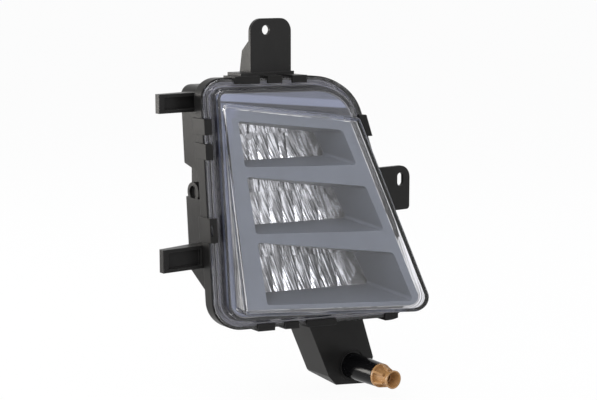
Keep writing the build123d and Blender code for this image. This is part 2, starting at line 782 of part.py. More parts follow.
# Carrier: finned plate behind the bank, with a shelf over each board, the tilt beam and the fork
carrier_height = shelf_tops[0] - min(reflector_bottoms) - CARRIER_FOOT
carrier_bottom = shelf_tops[0] - carrier_height
carrier_outline = leaning_quad(
    bank_left + CARRIER_INSET,
    bank_width - CARRIER_INSET,
    shelf_tops[0],
    carrier_height,
    BANK_LEFT_LEAN,
    BANK_RIGHT_LEAN,
)
carrier_back = reflector_limit.offset(-CARRIER_WALL)
fin_rear = Plane(origin=(0, FIN_REAR, 0), x_dir=(1, 0, 0), z_dir=(0, -1, 0))
carrier_plate = drawn(carrier_outline, CARRIER_RADII, 0, carrier_back, reflector_limit)
fin_room = drawn(carrier_outline, CARRIER_RADII, 0, fin_rear, carrier_back.offset(CARRIER_WALL / 2))

with BuildPart(mode=Mode.PRIVATE) as fins:
    with BuildSketch(Plane.XY.offset(-REACH)):
        with Locations((bank_left + FIN_INSET + FIN_PITCH * (FIN_COUNT - 1) / 2, 0)):
            with GridLocations(FIN_PITCH, 1, FIN_COUNT, 1):
                Rectangle(FIN_WALL, 2 * REACH)
    extrude(amount=REACH)
    add(fin_room, mode=Mode.INTERSECT)
    with BuildSketch(carrier_back):
        with Locations(*screw_places):
            Circle(SCREW_HEAD / 2 + FIN_WALL)
    extrude(amount=-REACH, mode=Mode.SUBTRACT)

fork_inner = NUT_WIDTH / 2 + FORK_SIDE_GAP
fork_outer = fork_inner + FORK_WALL
fork_top = adjuster_z + FORK_RISE
fork_bottom = adjuster_z - FORK_REACH
neck_level = adjuster_z + LEVER_NECK_RISE
slot_width = TRUNNION_DIAMETER + 2 * FORK_CLEARANCE
lever_outline = [
    (adjuster_x + LEVER_LEFT, carrier_bottom + LEVER_LAP),
    (adjuster_x + LEVER_LEFT + LEVER_WIDTH, carrier_bottom + LEVER_LAP),
    (adjuster_x + LEVER_NECK_LEFT + LEVER_NECK_WIDTH, neck_level),
    (adjuster_x + fork_outer, fork_top),
    (adjuster_x + fork_outer, fork_top - FORK_BRIDGE),
    (adjuster_x - fork_outer, fork_top - FORK_BRIDGE),
    (adjuster_x - fork_outer, fork_top),
    (adjuster_x + LEVER_NECK_LEFT, neck_level),
]

with BuildPart(mode=Mode.PRIVATE) as fork:
    with BuildSketch(Plane.YZ.offset(adjuster_x - fork_outer)):
        with Locations((NUT_REAR, fork_bottom)):
            Rectangle(slot_width + 2 * FORK_CHEEK, fork_top - fork_bottom, align=(Align.CENTER, Align.MIN))
        with Locations((NUT_REAR, adjuster_z + FORK_HEADROOM)):
            Circle(slot_width / 2, mode=Mode.SUBTRACT)
            Rectangle(slot_width, REACH, align=(Align.CENTER, Align.MAX), mode=Mode.SUBTRACT)
    extrude(amount=2 * fork_outer)
    with BuildSketch(Plane.YZ.offset(adjuster_x - fork_inner)):
        with Locations((NUT_REAR, fork_top - FORK_BRIDGE)):
            Rectangle(REACH, REACH, align=(Align.CENTER, Align.MAX))
    extrude(amount=2 * fork_inner, mode=Mode.SUBTRACT)

with BuildPart() as reflector_carrier:
    add(carrier_plate)
    add(fins.part)
    for board_start, shelf_top in zip(board_starts, shelf_tops):
        shelf_rear = carrier_front + CARRIER_WALL / 2
        add(bank_bar(board_start, BOARD_LENGTH, board_front, shelf_rear, shelf_top - SHELF_WALL, SHELF_WALL))
    add(pivot_bar(beam_left, BEAM_DIAMETER, beam_right - beam_left))
    with BuildSketch(Plane.XZ.offset(-NUT_REAR)):
        with BuildLine():
            Polyline(*lever_outline, close=True)
        make_face()
    extrude(amount=LEVER_WALL / 2, both=True)
    add(fork.part)
    add(pivot_bar(beam_left, PIN_DIAMETER, PIN_GRIP), mode=Mode.SUBTRACT)
    add(pivot_bar(beam_right - PIN_GRIP, PIN_DIAMETER, PIN_GRIP), mode=Mode.SUBTRACT)
    with BuildSketch(carrier_back):
        with Locations(*screw_places):
            Circle(SCREW_DIAMETER / 2 + SEAT_CLEARANCE)
    extrude(amount=CARRIER_WALL, mode=Mode.SUBTRACT)
reflector_carrier.part.label = "reflector_carrier"
export_step(reflector_carrier.part, "parts/reflector_carrier.step")

with BuildPart() as reflector_screws:
    with BuildSketch(carrier_back):
        with Locations(*screw_places):
            Circle(SCREW_HEAD / 2)
    extrude(amount=-SCREW_HEAD_HEIGHT)
    with BuildSketch(carrier_back):
        with Locations(*screw_places):
            Circle(SCREW_DIAMETER / 2)
    extrude(amount=CARRIER_WALL + SCREW_GRIP)
reflector_screws.part.label = "reflector_screws"
export_step(reflector_screws.part, "parts/reflector_screws.step")

# Pivot pins pressed into the beam, and the bushes that they turn in
pin_length = PIN_GRIP + RUNNING_GAP + BUSH_FLANGE_WALL + BUSH_LENGTH - RUNNING_GAP
bush_bore = PIN_DIAMETER + 2 * PIN_CLEARANCE
flange_diameter = bush_diameter + 2 * BUSH_FLANGE

with BuildPart() as pivot_pin_left:
    add(pivot_bar(beam_left + PIN_GRIP - pin_length, PIN_DIAMETER, pin_length))
pivot_pin_left.part.label = "pivot_pin_left"
export_step(pivot_pin_left.part, "parts/pivot_pin_left.step")

with BuildPart() as pivot_pin_right:
    add(pivot_bar(beam_right - PIN_GRIP, PIN_DIAMETER, pin_length))
pivot_pin_right.part.label = "pivot_pin_right"
export_step(pivot_pin_right.part, "parts/pivot_pin_right.step")

with BuildPart() as pivot_bush_left:
    add(pivot_bar(pivot_left - BUSH_LENGTH, bush_diameter, BUSH_LENGTH))
    add(pivot_bar(pivot_left, flange_diameter, BUSH_FLANGE_WALL))
    add(pivot_bar(pivot_left - BUSH_LENGTH, bush_bore, BUSH_LENGTH + BUSH_FLANGE_WALL), mode=Mode.SUBTRACT)
pivot_bush_left.part.label = "pivot_bush_left"
export_step(pivot_bush_left.part, "parts/pivot_bush_left.step")

with BuildPart() as pivot_bush_right:
    add(pivot_bar(pivot_right, bush_diameter, BUSH_LENGTH))
    add(pivot_bar(pivot_right - BUSH_FLANGE_WALL, flange_diameter, BUSH_FLANGE_WALL))
    add(
        pivot_bar(pivot_right - BUSH_FLANGE_WALL, bush_bore, BUSH_LENGTH + BUSH_FLANGE_WALL),
        mode=Mode.SUBTRACT,
    )
pivot_bush_right.part.label = "pivot_bush_right"
export_step(pivot_bush_right.part, "parts/pivot_bush_right.step")

# Housing walls: body, glue channel and the side reliefs
body_bar = drawn(rim, RIM_RADII, -channel_inner, housing_rear, seat.offset(-BEZEL_FLANGE))
with BuildPart(mode=Mode.PRIVATE) as body:
    add(body_bar)
    fillet(body.faces().sort_by(Axis.Y)[-1].edges(), HOUSING_REAR_EDGE)
channel_block = drawn(rim, RIM_RADII, RIM_LAND, seat.offset(-CHANNEL_DEPTH - CHANNEL_FLOOR), seat)
channel_cut = drawn(rim, RIM_RADII, -channel_outer, seat.offset(-CHANNEL_DEPTH), seat.offset(OVERRUN))
channel_core = drawn(
    rim, RIM_RADII, -channel_inner, seat.offset(-CHANNEL_DEPTH - OVERRUN), seat.offset(2 * OVERRUN)
)
inner_wall_trim = drawn(rim, RIM_RADII, -channel_outer, seat.offset(-BEZEL_FLANGE), seat.offset(OVERRUN))
cavity_bar = drawn(rim, RIM_RADII, -cavity_inset, housing_floor, seat.offset(2 * OVERRUN))
lens_room = drawn(rim, RIM_RADII, HOOK_GAP, seat, seat.offset(REACH))
glue_channel = channel_cut - channel_core


def side_space(side, plan, wall):
    """Space with the given outline from the side, as Y and Z, and from above, as X and Y, grown by a wall."""
    with BuildPart(mode=Mode.PRIVATE) as across:
        with BuildSketch(Plane.YZ.offset(-REACH)):
            with BuildLine():
                Polyline(*side, close=True)
            make_face()
            if wall:
                offset(amount=wall, kind=Kind.INTERSECTION)
        extrude(amount=2 * REACH)
    with BuildPart(mode=Mode.PRIVATE) as upright:
        with BuildSketch(Plane.XY.offset(-REACH)):
            with BuildLine():
                Polyline(*plan, close=True)
            make_face()
            if wall:
                offset(amount=wall, kind=Kind.INTERSECTION)
        extrude(amount=2 * REACH)
    return across.part & upright.part


# Both reliefs open past the housing's rear and left
relief_rear = 2 * HOUSING_REAR
relief_left = 2 * RIM_LEFT
slope_run = HOUSING_REAR - RELIEF_FRONT
notch_rise = (NOTCH_ABOVE_REAR - NOTCH_ABOVE_FRONT) / slope_run
foot_rise = (FOOT_RISE_REAR - FOOT_RISE_FRONT) / slope_run
notch_side = [
    (RELIEF_FRONT, pivot_level + NOTCH_ABOVE_FRONT),
    (relief_rear, pivot_level + NOTCH_ABOVE_REAR + notch_rise * HOUSING_REAR),
    (relief_rear, pivot_level - NOTCH_BELOW),
    (RELIEF_FRONT, pivot_level - NOTCH_BELOW),
]
notch_plan = [
    (relief_left, RELIEF_FRONT),
    (notch_x, RELIEF_FRONT),
    (notch_x, relief_rear),
    (relief_left, relief_rear),
]
foot_side = [
    (RELIEF_FRONT, rim_bottom + FOOT_RISE_FRONT),
    (relief_rear, rim_bottom + FOOT_RISE_REAR + foot_rise * HOUSING_REAR),
    (relief_rear, -REACH),
    (RELIEF_FRONT, -REACH),
]
foot_plan = [
    (relief_left, RELIEF_FRONT),
    (RIM_LEFT + FOOT_LEFT_INSET, RELIEF_FRONT),
    (RIM_LEFT + FOOT_WALL_INSET, FOOT_REAR),
    (RIM_LEFT + FOOT_RIGHT_INSET, FOOT_REAR),
    (RIM_LEFT + FOOT_RIGHT_INSET, relief_rear),
    (relief_left, relief_rear),
]
reliefs = [side_space(notch_side, notch_plan, 0), side_space(foot_side, foot_plan, 0)]
relief_backs = [
    side_space(notch_side, notch_plan, HOUSING_WALL),
    side_space(foot_side, foot_plan, HOUSING_WALL),
]
cavity = cavity_bar - relief_backs[0] - relief_backs[1]

# Snap hooks: short lengths of one ring that laps over the lens flange
hook_outer = HOOK_GAP + HOOK_OUT
hook_base = rim_front.offset(HOOK_CLEARANCE)
hook_tip = hook_base.offset(HOOK_LIP)
post_ring = drawn(rim, RIM_RADII, hook_outer, seat.offset(-HOOK_REACH), hook_tip)
post_core = drawn(rim, RIM_RADII, HOOK_GAP, seat.offset(-HOOK_REACH - OVERRUN), hook_base)
lip_core = drawn(rim, RIM_RADII, -HOOK_LAP, hook_base.offset(-OVERRUN), hook_tip.offset(OVERRUN))
hook_ring = post_ring - post_core - lip_core
rim_middle_x = (rim[0][0] + rim[2][0]) / 2
rim_middle_z = RIM_TOP - RIM_HEIGHT / 2
loop_level = LEFT_HOOKS[-1][0]
loop_x = RIM_LEFT + (RIM_TOP - loop_level) * tan(radians(RIM_LEFT_LEAN))

with BuildPart(mode=Mode.PRIVATE) as hooks:
    with BuildSketch(Plane.XZ.offset(-REACH)):
        for x, length in TOP_HOOKS:
            with Locations((x, rim_middle_z)):
                Rectangle(length, REACH, align=(Align.CENTER, Align.MIN))
        for x, length in BOTTOM_HOOKS:
            with Locations((x, rim_middle_z)):
                Rectangle(length, REACH, align=(Align.CENTER, Align.MAX))
        for z, length in RIGHT_HOOKS:
            with Locations((rim_middle_x, z)):
                Rectangle(REACH, length, align=(Align.MIN, Align.CENTER))
        for z, length in LEFT_HOOKS:
            with Locations((rim_middle_x, z)):
                Rectangle(REACH, length, align=(Align.MAX, Align.CENTER))
    extrude(amount=2 * REACH)
    add(hook_ring, mode=Mode.INTERSECT)
    with BuildSketch(hook_base):
        with Locations(on_plane(hook_base, loop_x, loop_level)):
            RectangleRounded(LOOP_WIDTH, LOOP_LENGTH, LOOP_RADIUS)
    extrude(amount=HOOK_LIP, mode=Mode.SUBTRACT)

# Adjuster box, with a floor that rises to the rear
gearbox_rear = GEARBOX_FRONT + GEARBOX_DEPTH
gearbox_outline = [(adjuster_x + x, adjuster_z + z) for x, z in GEARBOX_OUTLINE]
(right_x, right_z), (left_x, left_z) = gearbox_outline[3:5]
floor_rise = radians(GEARBOX_FLOOR_RISE)
floor_across = Vector(right_x - left_x, 0, right_z - left_z).normalized()
floor_back = Vector(0, cos(floor_rise), sin(floor_rise))
gearbox_floor = Plane(
    origin=(right_x, GEARBOX_FRONT, right_z), x_dir=floor_across, z_dir=floor_across.cross(floor_back)
)


def gearbox_bar(inset):
    """The adjuster box, drawn in by a wall."""
    with BuildPart(mode=Mode.PRIVATE) as bar:
        with BuildSketch(Plane.XZ.offset(inset - gearbox_rear)):
            with BuildLine():
                Polyline(*gearbox_outline, close=True)
            make_face()
            if inset:
                offset(amount=-inset, kind=Kind.INTERSECTION)
        extrude(amount=GEARBOX_DEPTH - 2 * inset)
        split(bisect_by=gearbox_floor.offset(inset), keep=Keep.TOP)
    return bar.part


chamber_top = rim_bottom - RIM_LAND - CHAMBER_DROP
throat_top = rim_bottom + cavity_inset + HOUSING_WALL
with BuildPart(mode=Mode.PRIVATE) as chamber:
    add(gearbox_bar(GEARBOX_WALL))
    split(bisect_by=Plane.XY.offset(chamber_top), keep=Keep.BOTTOM)
    with BuildSketch(Plane.XY.offset(chamber_top)):
        with Locations((adjuster_x + THROAT_LEFT + THROAT_WIDTH / 2, NUT_REAR)):
            Rectangle(THROAT_WIDTH, THROAT_DEPTH)
    extrude(amount=throat_top - chamber_top)
adjuster_front = Plane(origin=(adjuster_x, GEARBOX_FRONT, adjuster_z), x_dir=(1, 0, 0), z_dir=(0, -1, 0))

# Upper ear: plate, two gussets and a pedestal on the rim
ear_foot = RIM_TOP - channel_outer
pedestal_foot = RIM_TOP - channel_inner - HOUSING_WALL / 2
pedestal_width = EAR_RIGHT - EAR_LEFT + PEDESTAL_LEFT_REACH + PEDESTAL_RIGHT_REACH
with BuildPart(mode=Mode.PRIVATE) as upper_ear:
    with BuildSketch(Plane.XZ):
        with BuildLine():
            FilletPolyline(
                (EAR_LEFT, ear_foot),
                (EAR_LEFT, EAR_TOP),
                (EAR_RIGHT, EAR_TOP),
                (EAR_RIGHT, ear_foot),
                radius=EAR_RADIUS,
            )
            Line((EAR_RIGHT, ear_foot), (EAR_LEFT, ear_foot))
        make_face()
    extrude(amount=EAR_WALL)
    for gusset_x in (EAR_LEFT, EAR_RIGHT - GUSSET_WALL):
        with BuildSketch(Plane.YZ.offset(gusset_x)):
            with BuildLine():
                Polyline((0, GUSSET_TOP), GUSSET_SHOULDER, (GUSSET_ROOT, ear_foot), (0, ear_foot), close=True)
            make_face()
        extrude(amount=GUSSET_WALL)
    with BuildSketch(Plane.XZ.offset(-PEDESTAL_REAR)):
        with Locations((EAR_LEFT - PEDESTAL_LEFT_REACH, pedestal_foot)):
            Rectangle(pedestal_width, PEDESTAL_TOP - pedestal_foot, align=(Align.MIN, Align.MIN))
    extrude(amount=PEDESTAL_REAR - PEDESTAL_FRONT)
    with BuildSketch(Plane.XZ):
        Circle(EAR_HOLE / 2)
    extrude(amount=EAR_WALL, mode=Mode.SUBTRACT)

# Side ear: a plate with a slot, rooted in the rim's right edge
side_ear_top = RIM_TOP - SIDE_EAR_DROP
side_ear_bottom = side_ear_top - SIDE_EAR_HEIGHT
ear_root_top = rim_right + SIDE_EAR_DROP * tan(right_lean) - CHANNEL_WALL / 2
ear_root_bottom = ear_root_top + SIDE_EAR_HEIGHT * tan(right_lean)
side_ear_right = ear_root_top + SIDE_EAR_REACH
with BuildPart(mode=Mode.PRIVATE) as side_ear:
    with BuildSketch(Plane.XZ.offset(SIDE_EAR_FORWARD - EAR_WALL)):
        with BuildLine():
            FilletPolyline(
                (ear_root_top, side_ear_top),
                (side_ear_right, side_ear_top),
                (side_ear_right, side_ear_bottom),
                (ear_root_bottom, side_ear_bottom),
                radius=SIDE_EAR_RADII,
            )
            Line((ear_root_bottom, side_ear_bottom), (ear_root_top, side_ear_top))
        make_face()
        with Locations((side_ear_right - SLOT_INSET, side_ear_top - SLOT_DROP)):
            SlotOverall(SLOT_HEIGHT, SLOT_WIDTH, rotation=90, mode=Mode.SUBTRACT)
    extrude(amount=EAR_WALL)

# Side lugs: wedges in plan with a pocket in the front face
lug_root = RIM_LEFT + LUG_ROOT_INSET
lug_places = (
    (UPPER_LUG_REAR, RIM_LEFT - UPPER_LUG_REACH, RIM_TOP - UPPER_LUG_DROP, UPPER_LUG_HEIGHT),
    (LOWER_LUG_REAR, RIM_LEFT - LOWER_LUG_REACH, rim_bottom + LOWER_LUG_RISE, LOWER_LUG_HEIGHT),
)
with BuildPart(mode=Mode.PRIVATE) as side_lugs:
    for front, tip, top, height in lug_places:
        with BuildSketch(Plane.XY.offset(top)):
            with BuildLine():
                Polyline(
                    (tip, front),
                    (lug_root, front),
                    (lug_root, front + LUG_ROOT_DEPTH),
                    (tip, front + LUG_TIP_DEPTH),
                    close=True,
                )
            make_face()
        extrude(amount=-height)
        with BuildSketch(Plane.XZ.offset(-front)):
            with Locations((tip + LUG_TIP_WALL, top - height / 2)):
                Rectangle(LUG_POCKET_LENGTH, height - 2 * LUG_WALL, align=(Align.MIN, Align.CENTER))
        extrude(amount=-LUG_POCKET, mode=Mode.SUBTRACT)

# Bosses for the tilt bushes and for the rear cover's screws
boss_diameter = bush_diameter + 2 * PIVOT_BOSS_WALL
bush_room = BUSH_LENGTH + SEAT_CLEARANCE
left_boss = pivot_left - bush_room - PIVOT_END_WALL - PIVOT_RING
right_boss = pivot_right + bush_room + PIVOT_END_WALL + PIVOT_RING
cover_box_width = COVER_WIDTH - 2 * COVER_FLANGE
cover_box_height = COVER_HEIGHT - 2 * COVER_FLANGE
cover_bay_width = cover_box_width - 2 * COVER_WALL
cover_bay_height = cover_box_height - 2 * COVER_WALL
cover_screw_across = COVER_WIDTH - 2 * COVER_SCREW_INSET
cover_screw_up = COVER_HEIGHT - 2 * COVER_SCREW_INSET
cover_boss_depth = COVER_SCREW_GRIP + SEAT_CLEARANCE + COVER_BOSS_WALL / 2


def rear_plane(y):
    """Plane that faces the rear at depth y, drawn to the right and down from the cover's centre."""
    centre = (RIM_LEFT + COVER_INSET, y, pivot_level - COVER_DROP)
    return Plane(origin=centre, x_dir=(1, 0, 0), z_dir=(0, 1, 0))


def breather_plane(y):
    """Plane that faces the rear at depth y, centred on the breather."""
    centre = (RIM_LEFT + BREATHER_INSET, y, RIM_TOP - BREATHER_DROP)
    return Plane(origin=centre, x_dir=(1, 0, 0), z_dir=(0, 1, 0))


with BuildPart() as housing:
    add(body.part)
    add(channel_block)
    add(gearbox_bar(0))
    add(upper_ear.part)
    add(side_ear.part)
    add(side_lugs.part)
    add(reliefs, mode=Mode.SUBTRACT)
    add(lens_room, mode=Mode.SUBTRACT)
    add(hooks.part)
    add(glue_channel, mode=Mode.SUBTRACT)
    add(inner_wall_trim, mode=Mode.SUBTRACT)
    add(cavity, mode=Mode.SUBTRACT)
    add(chamber.part, mode=Mode.SUBTRACT)
    add(pivot_bar(left_boss, boss_diameter, pivot_left - left_boss))
    add(pivot_bar(pivot_right, boss_diameter, right_boss - pivot_right))
    add(pivot_bar(pivot_left - bush_room, bush_diameter, bush_room), mode=Mode.SUBTRACT)
    add(pivot_bar(pivot_right, bush_diameter, bush_room), mode=Mode.SUBTRACT)
    add(pivot_bar(left_boss, bush_diameter, PIVOT_RING), mode=Mode.SUBTRACT)
    with BuildSketch(rear_plane(HOUSING_REAR)):
        with GridLocations(cover_screw_across, cover_screw_up, 2, 2):
            Circle(COVER_SCREW / 2 + COVER_BOSS_WALL)
    extrude(amount=-cover_boss_depth)
    with BuildSketch(rear_plane(HOUSING_REAR)):
        with GridLocations(cover_screw_across, cover_screw_up, 2, 2):
            Circle(COVER_SCREW / 2 + SEAT_CLEARANCE)
    extrude(amount=-COVER_SCREW_GRIP - SEAT_CLEARANCE, mode=Mode.SUBTRACT)
    with BuildSketch(rear_plane(HOUSING_REAR)):
        RectangleRounded(cover_bay_width, cover_bay_height, COVER_RADIUS - COVER_WALL)
    extrude(amount=-HOUSING_WALL, mode=Mode.SUBTRACT)
    with BuildSketch(breather_plane(HOUSING_REAR)):
        Circle(BREATHER_STUB / 2)
    extrude(amount=BREATHER_STUB_LENGTH)
    with BuildSketch(breather_plane(HOUSING_REAR - HOUSING_WALL)):
        Circle(BREATHER_BORE / 2)
    extrude(amount=HOUSING_WALL + BREATHER_STUB_LENGTH, mode=Mode.SUBTRACT)
    with BuildSketch(adjuster_front):
        Circle(TUBE_SPIGOT / 2 + SEAT_CLEARANCE)
    extrude(amount=-GEARBOX_WALL, mode=Mode.SUBTRACT)
    with BuildSketch(adjuster_front):
        Circle(TUBE_SEAT / 2)
        Circle(TUBE_ROOT / 2, mode=Mode.SUBTRACT)
    extrude(amount=-TUBE_SEAT_DEPTH, mode=Mode.SUBTRACT)
housing.part.label = "housing"
export_step(housing.part, "parts/housing.step")

# Adjuster group, turned about one axis along Y: profiles are drawn as depth and radius
adjuster_axis = Axis((adjuster_x, 0, adjuster_z), (0, 1, 0))
adjuster_half = Plane(origin=(adjuster_x, 0, adjuster_z), x_dir=(0, 1, 0), z_dir=(1, 0, 0))
tube_tip = GEARBOX_FRONT - TUBE_LENGTH
spigot_end = GEARBOX_FRONT + GEARBOX_WALL
bore_radius = SHANK_DIAMETER / 2 + SHANK_CLEARANCE
ring_radius = bore_radius + O_RING_SECTION / 2
ring_room = ring_radius + O_RING_SECTION / 2 + SHANK_CLEARANCE
ring_bay = O_RING_SECTION + SEAT_CLEARANCE

with BuildPart() as adjuster_bush:
    with BuildSketch(adjuster_half):
        with BuildLine():
            Polyline(
                (tube_tip, ring_room),
                (tube_tip, TUBE_TIP / 2),
                (GEARBOX_FRONT, TUBE_ROOT / 2),
                (GEARBOX_FRONT, TUBE_SPIGOT / 2),
                (spigot_end, TUBE_SPIGOT / 2),
                (spigot_end, bore_radius),
                (tube_tip + ring_bay, bore_radius),
                (tube_tip + ring_bay, ring_room),
                close=True,
            )
        make_face()
    revolve(axis=adjuster_axis)
adjuster_bush.part.label = "adjuster_bush"
export_step(adjuster_bush.part, "parts/adjuster_bush.step")

with BuildPart() as adjuster_o_ring:
    with BuildSketch(adjuster_half):
        with Locations((tube_tip + ring_bay - O_RING_SECTION / 2, ring_radius)):
            Circle(O_RING_SECTION / 2)
    revolve(axis=adjuster_axis)
adjuster_o_ring.part.label = "adjuster_o_ring"
export_step(adjuster_o_ring.part, "parts/adjuster_o_ring.step")

flange_rear = tube_tip - RUNNING_GAP
flange_front = flange_rear - KNOB_FLANGE
knob_tip = flange_rear - KNOB_LENGTH
neck_front = flange_rear - KNOB_NECK_LENGTH
retainer_front = spigot_end + RUNNING_GAP
retainer_rear = retainer_front + RETAINER_WALL
with BuildPart() as adjuster:
    with BuildSketch(adjuster_half):
        with BuildLine():
            Polyline(
                (knob_tip, 0),
                (knob_tip, KNOB_MOUTH / 2),
                (knob_tip + KNOB_LIP, KNOB_MOUTH / 2),
                (neck_front, KNOB_NECK / 2),
                (flange_front, KNOB_CORE / 2),
                (flange_front, TUBE_TIP / 2),
                (flange_rear, TUBE_TIP / 2),
                (flange_rear, SHANK_DIAMETER / 2),
                (retainer_front - PIN_CLEARANCE, SHANK_DIAMETER / 2),
                (retainer_front - PIN_CLEARANCE, RETAINER_GROOVE / 2),
                (retainer_rear + PIN_CLEARANCE, RETAINER_GROOVE / 2),
                (retainer_rear + PIN_CLEARANCE, SHANK_DIAMETER / 2),
                (SHANK_END, SHANK_DIAMETER / 2),
                (SHANK_END, SPINDLE_DIAMETER / 2),
                (SPINDLE_END, SPINDLE_DIAMETER / 2),
                (SPINDLE_END, 0),
                close=True,
            )
        make_face()
    revolve(axis=adjuster_axis)
    for rib in range(KNOB_RIBS):
        turn = radians(360 / KNOB_RIBS * rib)
        rib_plane = Plane(origin=adjuster_half.origin, x_dir=(0, 1, 0), z_dir=(cos(turn), 0, sin(turn)))
        with BuildSketch(rib_plane):
            with BuildLine():
                Polyline(
                    (flange_front, 0),
                    (flange_front, TUBE_TIP / 2),
                    (neck_front, KNOB_CORE / 2),
                    (neck_front, 0),
                    close=True,
                )
            make_face()
        extrude(amount=KNOB_RIB_WALL / 2, both=True)
    with BuildSketch(adjuster_half):
        with BuildLine():
            Polyline(
                (knob_tip, 0),
                (knob_tip, FUNNEL_MOUTH / 2),
                (knob_tip + FUNNEL_DEPTH, FUNNEL_THROAT / 2),
                (knob_tip + FUNNEL_DEPTH, 0),
                close=True,
            )
        make_face()
    revolve(axis=adjuster_axis, mode=Mode.SUBTRACT)
    with BuildSketch(Plane.XZ.offset(-knob_tip - FUNNEL_DEPTH)):
        with Locations((adjuster_x, adjuster_z)):
            RegularPolygon(DRIVE_ACROSS / 2, 6, major_radius=False)
    extrude(amount=-DRIVE_DEPTH, mode=Mode.SUBTRACT)
adjuster.part.label = "adjuster"
export_step(adjuster.part, "parts/adjuster.step")

with BuildPart() as adjuster_retainer:
    with BuildSketch(Plane.XZ.offset(-retainer_rear)):
        with Locations((adjuster_x, adjuster_z)):
            Circle(RETAINER_DIAMETER / 2)
            Circle(RETAINER_GROOVE / 2 + PIN_CLEARANCE, mode=Mode.SUBTRACT)
    extrude(amount=RETAINER_WALL)
adjuster_retainer.part.label = "adjuster_retainer"
export_step(adjuster_retainer.part, "parts/adjuster_retainer.step")

with BuildPart() as adjuster_nut:
    with BuildSketch(Plane.XZ.offset(-NUT_REAR)):
        with Locations((adjuster_x, adjuster_z)):
            Rectangle(NUT_WIDTH, NUT_HEIGHT)
            Circle(SPINDLE_DIAMETER / 2 + NUT_CLEARANCE, mode=Mode.SUBTRACT)
    extrude(amount=NUT_DEPTH / 2, both=True)
    for side, length in ((-NUT_WIDTH / 2, -TRUNNION_LENGTH), (NUT_WIDTH / 2, TRUNNION_LENGTH)):
        with BuildSketch(Plane.YZ.offset(adjuster_x + side)):
            with Locations((NUT_REAR, adjuster_z)):
                Circle(TRUNNION_DIAMETER / 2)
        extrude(amount=length)
adjuster_nut.part.label = "adjuster_nut"
export_step(adjuster_nut.part, "parts/adjuster_nut.step")

# Rear cover with the plug socket
cover_floor = HOUSING_REAR + COVER_DEPTH
cover_back = cover_floor + COVER_WALL
gasket_width = cover_box_width + 2 * (GASKET_INSET + GASKET_WIDTH)
gasket_height = cover_box_height + 2 * (GASKET_INSET + GASKET_WIDTH)
driver_width = cover_bay_width - 2 * DRIVER_MARGIN
driver_height = cover_bay_height - 2 * DRIVER_MARGIN
driver_rear = cover_floor - DRIVER_STANDOFF

with BuildPart() as rear_cover:
    with BuildSketch(rear_plane(HOUSING_REAR)):
        RectangleRounded(cover_box_width, cover_box_height, COVER_RADIUS)
    extrude(amount=COVER_DEPTH + COVER_WALL)
    fillet(rear_cover.faces().sort_by(Axis.Y)[-1].edges(), COVER_EDGE)
    with BuildSketch(rear_plane(HOUSING_REAR)):
        RectangleRounded(COVER_WIDTH, COVER_HEIGHT, COVER_RADIUS)
    extrude(amount=COVER_FLANGE_WALL)
    with BuildSketch(rear_plane(HOUSING_REAR)):
        RectangleRounded(cover_bay_width, cover_bay_height, COVER_RADIUS - COVER_WALL)
    extrude(amount=COVER_DEPTH, mode=Mode.SUBTRACT)
    with BuildSketch(rear_plane(HOUSING_REAR)):
        RectangleRounded(gasket_width, gasket_height, COVER_RADIUS)
        RectangleRounded(
            gasket_width - 2 * GASKET_WIDTH,
            gasket_height - 2 * GASKET_WIDTH,
            COVER_RADIUS - GASKET_WIDTH,
            mode=Mode.SUBTRACT,
        )
    extrude(amount=GASKET_WALL, mode=Mode.SUBTRACT)
    with BuildSketch(rear_plane(HOUSING_REAR)):
        with GridLocations(cover_screw_across, cover_screw_up, 2, 2):
            Circle(COVER_SCREW / 2 + SEAT_CLEARANCE)
    extrude(amount=COVER_FLANGE_WALL, mode=Mode.SUBTRACT)
    with BuildSketch(rear_plane(cover_back)):
        with Locations((0, SOCKET_DROP)):
            RectangleRounded(SOCKET_WIDTH, SOCKET_HEIGHT, SOCKET_RADIUS)
            RectangleRounded(
                SOCKET_WIDTH - 2 * SOCKET_WALL,
                SOCKET_HEIGHT - 2 * SOCKET_WALL,
                SOCKET_RADIUS - SOCKET_WALL,
                mode=Mode.SUBTRACT,
            )
    extrude(amount=SOCKET_DEPTH)
    with BuildSketch(rear_plane(driver_rear)):
        with GridLocations(driver_width - 2 * STANDOFF_INSET, driver_height - 2 * STANDOFF_INSET, 2, 2):
            Circle(STANDOFF_DIAMETER / 2)
    extrude(amount=DRIVER_STANDOFF)
    with BuildSketch(rear_plane(cover_floor)):
        with Locations((0, SOCKET_DROP)):
            with GridLocations(PIN_PITCH, 1, PIN_COUNT, 1):
                Rectangle(PIN_SIDE + 2 * SEAT_CLEARANCE, PIN_SIDE + 2 * SEAT_CLEARANCE)
    extrude(amount=COVER_WALL, mode=Mode.SUBTRACT)
rear_cover.part.label = "rear_cover"
export_step(rear_cover.part, "parts/rear_cover.step")

with BuildPart() as rear_cover_gasket:
    with BuildSketch(rear_plane(HOUSING_REAR)):
        RectangleRounded(
            gasket_width - 2 * SEAT_CLEARANCE,
            gasket_height - 2 * SEAT_CLEARANCE,
            COVER_RADIUS - SEAT_CLEARANCE,
        )
        RectangleRounded(
            gasket_width - 2 * GASKET_WIDTH + 2 * SEAT_CLEARANCE,
            gasket_height - 2 * GASKET_WIDTH + 2 * SEAT_CLEARANCE,
            COVER_RADIUS - GASKET_WIDTH + SEAT_CLEARANCE,
            mode=Mode.SUBTRACT,
        )
    extrude(amount=GASKET_WALL)
rear_cover_gasket.part.label = "rear_cover_gasket"
export_step(rear_cover_gasket.part, "parts/rear_cover_gasket.step")

